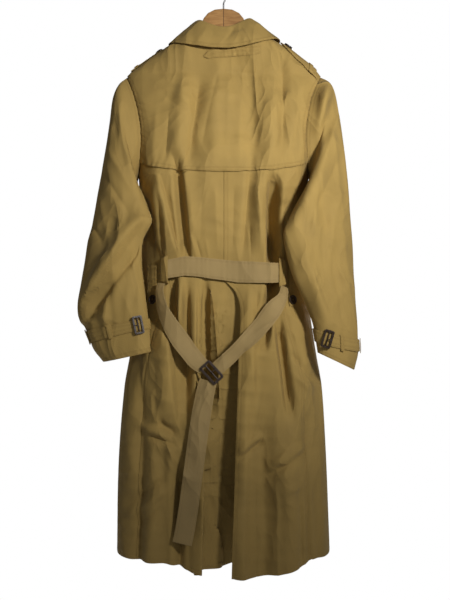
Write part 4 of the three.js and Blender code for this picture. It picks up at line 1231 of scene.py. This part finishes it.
# Buttons: dark horn-look discs with a raised rim and a dished middle, sewn on with crossed thread. One is
# modelled and copied to each place.
horn, tree, skin = new_material("dark horn")
cloudy = on_object(tree, "TexNoise", Scale=160.0, Detail=3.0, Distortion=1.5)
ramp = add_node(tree, "MixRGB", Color1=(0.012, 0.008, 0.006, 1), Color2=(0.05, 0.028, 0.016, 1))
link(tree, cloudy.outputs[0], ramp.inputs["Fac"])
link(tree, ramp.outputs[0], skin.inputs["Base Color"])
gloss = maths(tree, "ADD", maths(tree, "MULTIPLY", cloudy.outputs[0], 0.2), 0.22)
link(tree, gloss, skin.inputs["Roughness"])

thread, tree, skin = new_material("button thread")
strands = on_object(tree, "TexWave", Scale=900.0, Distortion=1.0)
mixed = add_node(tree, "MixRGB", Color1=(0.1, 0.06, 0.03, 1), Color2=(0.2, 0.13, 0.06, 1))
link(tree, strands.outputs[1], mixed.inputs["Fac"])
link(tree, mixed.outputs[0], skin.inputs["Base Color"])
skin.inputs["Roughness"].default_value = 0.8

BUTTON_RADIUS = 0.0105
BUTTON_DEPTH = 0.0034
FRONT_BUTTON_X = 62
FRONT_BUTTON_ROWS = (-450, -545, -640, -735)
WELT_BUTTON_TURN = 50
WELT_BUTTON_Z = -738.0
bpy.ops.object.select_all(action="DESELECT")
bpy.ops.mesh.primitive_cylinder_add(vertices=40, radius=BUTTON_RADIUS, depth=BUTTON_DEPTH)
button = bpy.context.object
button.location = (0, 0, BUTTON_DEPTH / 2)
bpy.ops.object.transform_apply(location=True)
bpy.ops.object.mode_set(mode="EDIT")
bpy.ops.mesh.select_all(action="DESELECT")
bpy.ops.object.mode_set(mode="OBJECT")
for face in button.data.polygons:
    face.select = face.normal.z > 0.9
bpy.ops.object.mode_set(mode="EDIT")
bpy.ops.mesh.select_mode(type="FACE")
bpy.ops.mesh.inset(thickness=0.0018)
bpy.ops.mesh.inset(thickness=0.0012)
bpy.ops.transform.translate(value=(0, 0, -0.0012))
bpy.ops.mesh.inset(thickness=0.0035)
bpy.ops.transform.translate(value=(0, 0, -0.0003))
bpy.ops.mesh.select_all(action="DESELECT")
bpy.ops.object.mode_set(mode="OBJECT")
soften = button.modifiers.new("soft edges", "BEVEL")
soften.width = 0.0005
soften.segments = 3
soften.limit_method = "ANGLE"
bpy.ops.object.modifier_apply(modifier="soft edges")
button.data.materials.append(horn)
button.data.materials.append(thread)
for turn in (45, 135):
    bpy.ops.object.select_all(action="DESELECT")
    bpy.ops.mesh.primitive_uv_sphere_add(segments=12, ring_count=8, radius=0.5, location=(0, 0, 0.0024))
    loop = bpy.context.object
    loop.scale = (0.0056, 0.0011, 0.0012)
    loop.rotation_euler = (0, 0, math.radians(turn))
    bpy.ops.object.transform_apply()
    loop.data.materials.append(horn)
    loop.data.materials.append(thread)
    for face in loop.data.polygons:
        face.material_index = 1
    button.select_set(True)
    bpy.context.view_layer.objects.active = button
    bpy.ops.object.join()
button.data.shade_smooth()
button.data.set_sharp_from_angle(angle=math.radians(40))


def seat(point, normal, direction, lift):
    """The turn and place that set a flat piece on a place, its own Z along the normal."""
    normal = Vector(normal).normalized()
    across = Vector(direction)
    across = (across - normal * across.dot(normal)).normalized()
    up = normal.cross(across)
    place = (Vector(point) + normal * lift) * MM
    return Matrix.Translation(place) @ Matrix((across, up, normal)).transposed().to_4x4()


def place_copy(model, name, matrix, node):
    mesh = model.data.copy()
    mesh.transform(matrix)
    copy = bpy.data.objects.new(name, mesh)
    bpy.context.collection.objects.link(copy)
    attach(copy, "root")
    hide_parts(node)
    return copy


ACROSS = (1, 0, 0)
for side, word in ((-1, "left"), (1, "right")):
    points, normals = epaulette_tops[side]
    along = (EPAULETTE_BUTTON_X - EPAULETTE_TIP) / (EPAULETTE_SEAM - EPAULETTE_TIP)
    row = round(along * (len(points) - 1))
    column = 8 if side > 0 else 12
    matrix = seat(points[row, column], normals[row, column], ACROSS, EPAULETTE_OUT + 0.5)
    place_copy(button, f"epaulette_disc_{word}", matrix, f"epaulette_button_{word}")
    point, normal = body_place(np.array(side * math.radians(WELT_BUTTON_TURN)), np.array(WELT_BUTTON_Z))
    matrix = seat(point, normal, ACROSS, WELT_OUT + 0.4)
    place_copy(button, f"pocket_disc_{word}", matrix, f"pocket_button_{word}")
    for row, z in enumerate(FRONT_BUTTON_ROWS):
        half = float(read(FORM, "right", z))
        turn = math.pi - math.asin(side * FRONT_BUTTON_X / half)
        point, normal = body_place(np.array(turn), np.array(float(z)))
        matrix = seat(point, normal, ACROSS, OVER_LIFT + WALL + 0.5)
        number = f"{word}_{row + 1}"
        place_copy(button, f"front_disc_{number}", matrix, f"front_button_{number}")
bpy.data.objects.remove(button)


# Buckles: rectangular frames covered in dark leather, with a middle bar and a prong. The belt's is the
# largest, and each cuff has a smaller one.
hide, tree, skin = new_material("dark leather")
pores = on_object(tree, "TexVoronoi", Scale=900.0)
blotch = on_object(tree, "TexNoise", Scale=120.0, Detail=4.0)
tint = add_node(tree, "MixRGB", Color1=(0.014, 0.008, 0.005, 1), Color2=(0.06, 0.034, 0.02, 1))
link(tree, blotch.outputs[0], tint.inputs["Fac"])
link(tree, tint.outputs[0], skin.inputs["Base Color"])
grain = add_node(tree, "Bump", Strength=0.4, Distance=0.0004)
link(tree, pores.outputs[0], grain.inputs["Height"])
link(tree, grain.outputs[0], skin.inputs["Normal"])
gloss = maths(tree, "ADD", maths(tree, "MULTIPLY", blotch.outputs[0], 0.25), 0.3)
link(tree, gloss, skin.inputs["Roughness"])


def buckle_model(width, height, bar, deep):
    bpy.ops.object.select_all(action="DESELECT")
    bpy.ops.mesh.primitive_plane_add(size=1)
    model = bpy.context.object
    model.scale = (width, height, 1)
    bpy.ops.object.transform_apply()
    bpy.ops.object.mode_set(mode="EDIT")
    bpy.ops.mesh.select_all(action="SELECT")
    bpy.ops.mesh.bevel(offset=bar * 0.9, segments=6, affect="VERTICES")
    bpy.ops.mesh.inset(thickness=bar)
    bpy.ops.mesh.delete(type="FACE")
    bpy.ops.mesh.select_all(action="SELECT")
    bpy.ops.mesh.extrude_region_move(TRANSFORM_OT_translate={"value": (0, 0, deep)})
    bpy.ops.mesh.select_all(action="SELECT")
    bpy.ops.mesh.normals_make_consistent(inside=False)
    bpy.ops.object.mode_set(mode="OBJECT")
    soften = model.modifiers.new("rolled edge", "BEVEL")
    soften.width = deep * 0.38
    soften.segments = 4
    soften.limit_method = "ANGLE"
    bpy.ops.object.modifier_apply(modifier="rolled edge")
    model.data.materials.append(hide)
    middle_bar = (0, 0, 0, bar * 0.34, height - bar, 90)
    prong = (width * 0.24, 0, deep * 0.6, bar * 0.26, width * 0.52, 0)
    rods = (middle_bar, prong)
    for x, y, z, radius, length, turn in rods:
        bpy.ops.object.select_all(action="DESELECT")
        bpy.ops.mesh.primitive_cylinder_add(vertices=16, radius=radius, depth=length)
        rod = bpy.context.object
        rod.rotation_euler = (0, math.radians(90), math.radians(turn))
        rod.location = (x, y, z + deep * 0.5)
        bpy.ops.object.transform_apply()
        rounded = rod.modifiers.new("round ends", "BEVEL")
        rounded.width = radius * 0.5
        rounded.segments = 3
        rounded.limit_method = "ANGLE"
        bpy.ops.object.modifier_apply(modifier="round ends")
        rod.data.materials.append(hide)
        model.select_set(True)
        bpy.context.view_layer.objects.active = model
        bpy.ops.object.join()
    model.data.shade_smooth()
    model.data.set_sharp_from_angle(angle=math.radians(50))
    return model


BUCKLE_X = -26
BUCKLE_Z = -896
BUCKLE_CLEAR = 21.5
large = buckle_model(0.03, 0.05, 0.0055, 0.004)
back = back_at(np.array(float(BUCKLE_X)), np.array(float(BUCKLE_Z)), False)[0]
place = (BUCKLE_X, float(back[1]) - BUCKLE_CLEAR, BUCKLE_Z)
place_copy(large, "belt_frame", seat(place, (0, -1, 0), (1, 0, 0.9), 0), "belt_buckle")
bpy.data.objects.remove(large)
small = buckle_model(0.022, 0.04, 0.0042, 0.0034)
for side, word in ((-1, "left"), (1, "right")):
    at = CUFF[side]["buckle"]
    column = np.array([at, at - 1.0])
    points, normals = sleeve_at(side, cuff_ring(side, column, 0), column)
    matrix = seat(points[0], normals[0], points[1] - points[0], STRAP_OUT + 0.6)
    place_copy(small, f"cuff_frame_{word}", matrix, f"cuff_buckle_{word}")
bpy.data.objects.remove(small)


# Hanger: two shaped wooden halves, glued at the middle and lacquered, with a bright wire hook screwed in.
wood, tree, skin = new_material("lacquered wood")
long_way = on_object(tree, "Mapping", Scale=(9.0, 60.0, 60.0), Rotation=(0.0, 0.5, 0.0))
rings = add_node(tree, "TexNoise", Scale=3.0, Detail=6.0, Distortion=0.8)
link(tree, long_way.outputs[0], rings.inputs["Vector"])
grain = add_node(tree, "ValToRGB")
grain.color_ramp.elements[0].position, grain.color_ramp.elements[1].position = 0.32, 0.7
grain.color_ramp.elements[0].color = (0.3, 0.145, 0.042, 1)
grain.color_ramp.elements[1].color = (0.5, 0.27, 0.09, 1)
link(tree, rings.outputs[0], grain.inputs[0])
split = on_object(tree, "SeparateXYZ")
joint = maths(tree, "LESS_THAN", maths(tree, "ABSOLUTE", split.outputs[0]), 0.0006)
right_half = maths(tree, "GREATER_THAN", split.outputs[0], 0.0)
halves = add_node(tree, "MixRGB", Color2=(0.28, 0.135, 0.04, 1))
link(tree, maths(tree, "MULTIPLY", right_half, 0.35), halves.inputs["Fac"])
link(tree, grain.outputs[0], halves.inputs["Color1"])
glued = add_node(tree, "MixRGB", Color2=(0.05, 0.02, 0.008, 1))
link(tree, joint, glued.inputs["Fac"])
link(tree, halves.outputs[0], glued.inputs["Color1"])
link(tree, glued.outputs[0], skin.inputs["Base Color"])
skin.inputs["Roughness"].default_value = 0.38
skin.inputs["Coat Weight"].default_value = 0.4
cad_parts["hanger_wood"].data.materials.clear()
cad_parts["hanger_wood"].data.materials.append(wood)

steel, tree, skin = new_material("bright wire")
skin.inputs["Base Color"].default_value = (0.62, 0.62, 0.63, 1)
skin.inputs["Metallic"].default_value = 1
scuff = on_object(tree, "TexNoise", Scale=240.0, Detail=3.0)
dull = maths(tree, "ADD", maths(tree, "MULTIPLY", scuff.outputs[0], 0.2), 0.2)
link(tree, dull, skin.inputs["Roughness"])
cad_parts["hanger_hook"].data.materials.clear()
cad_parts["hanger_hook"].data.materials.append(steel)
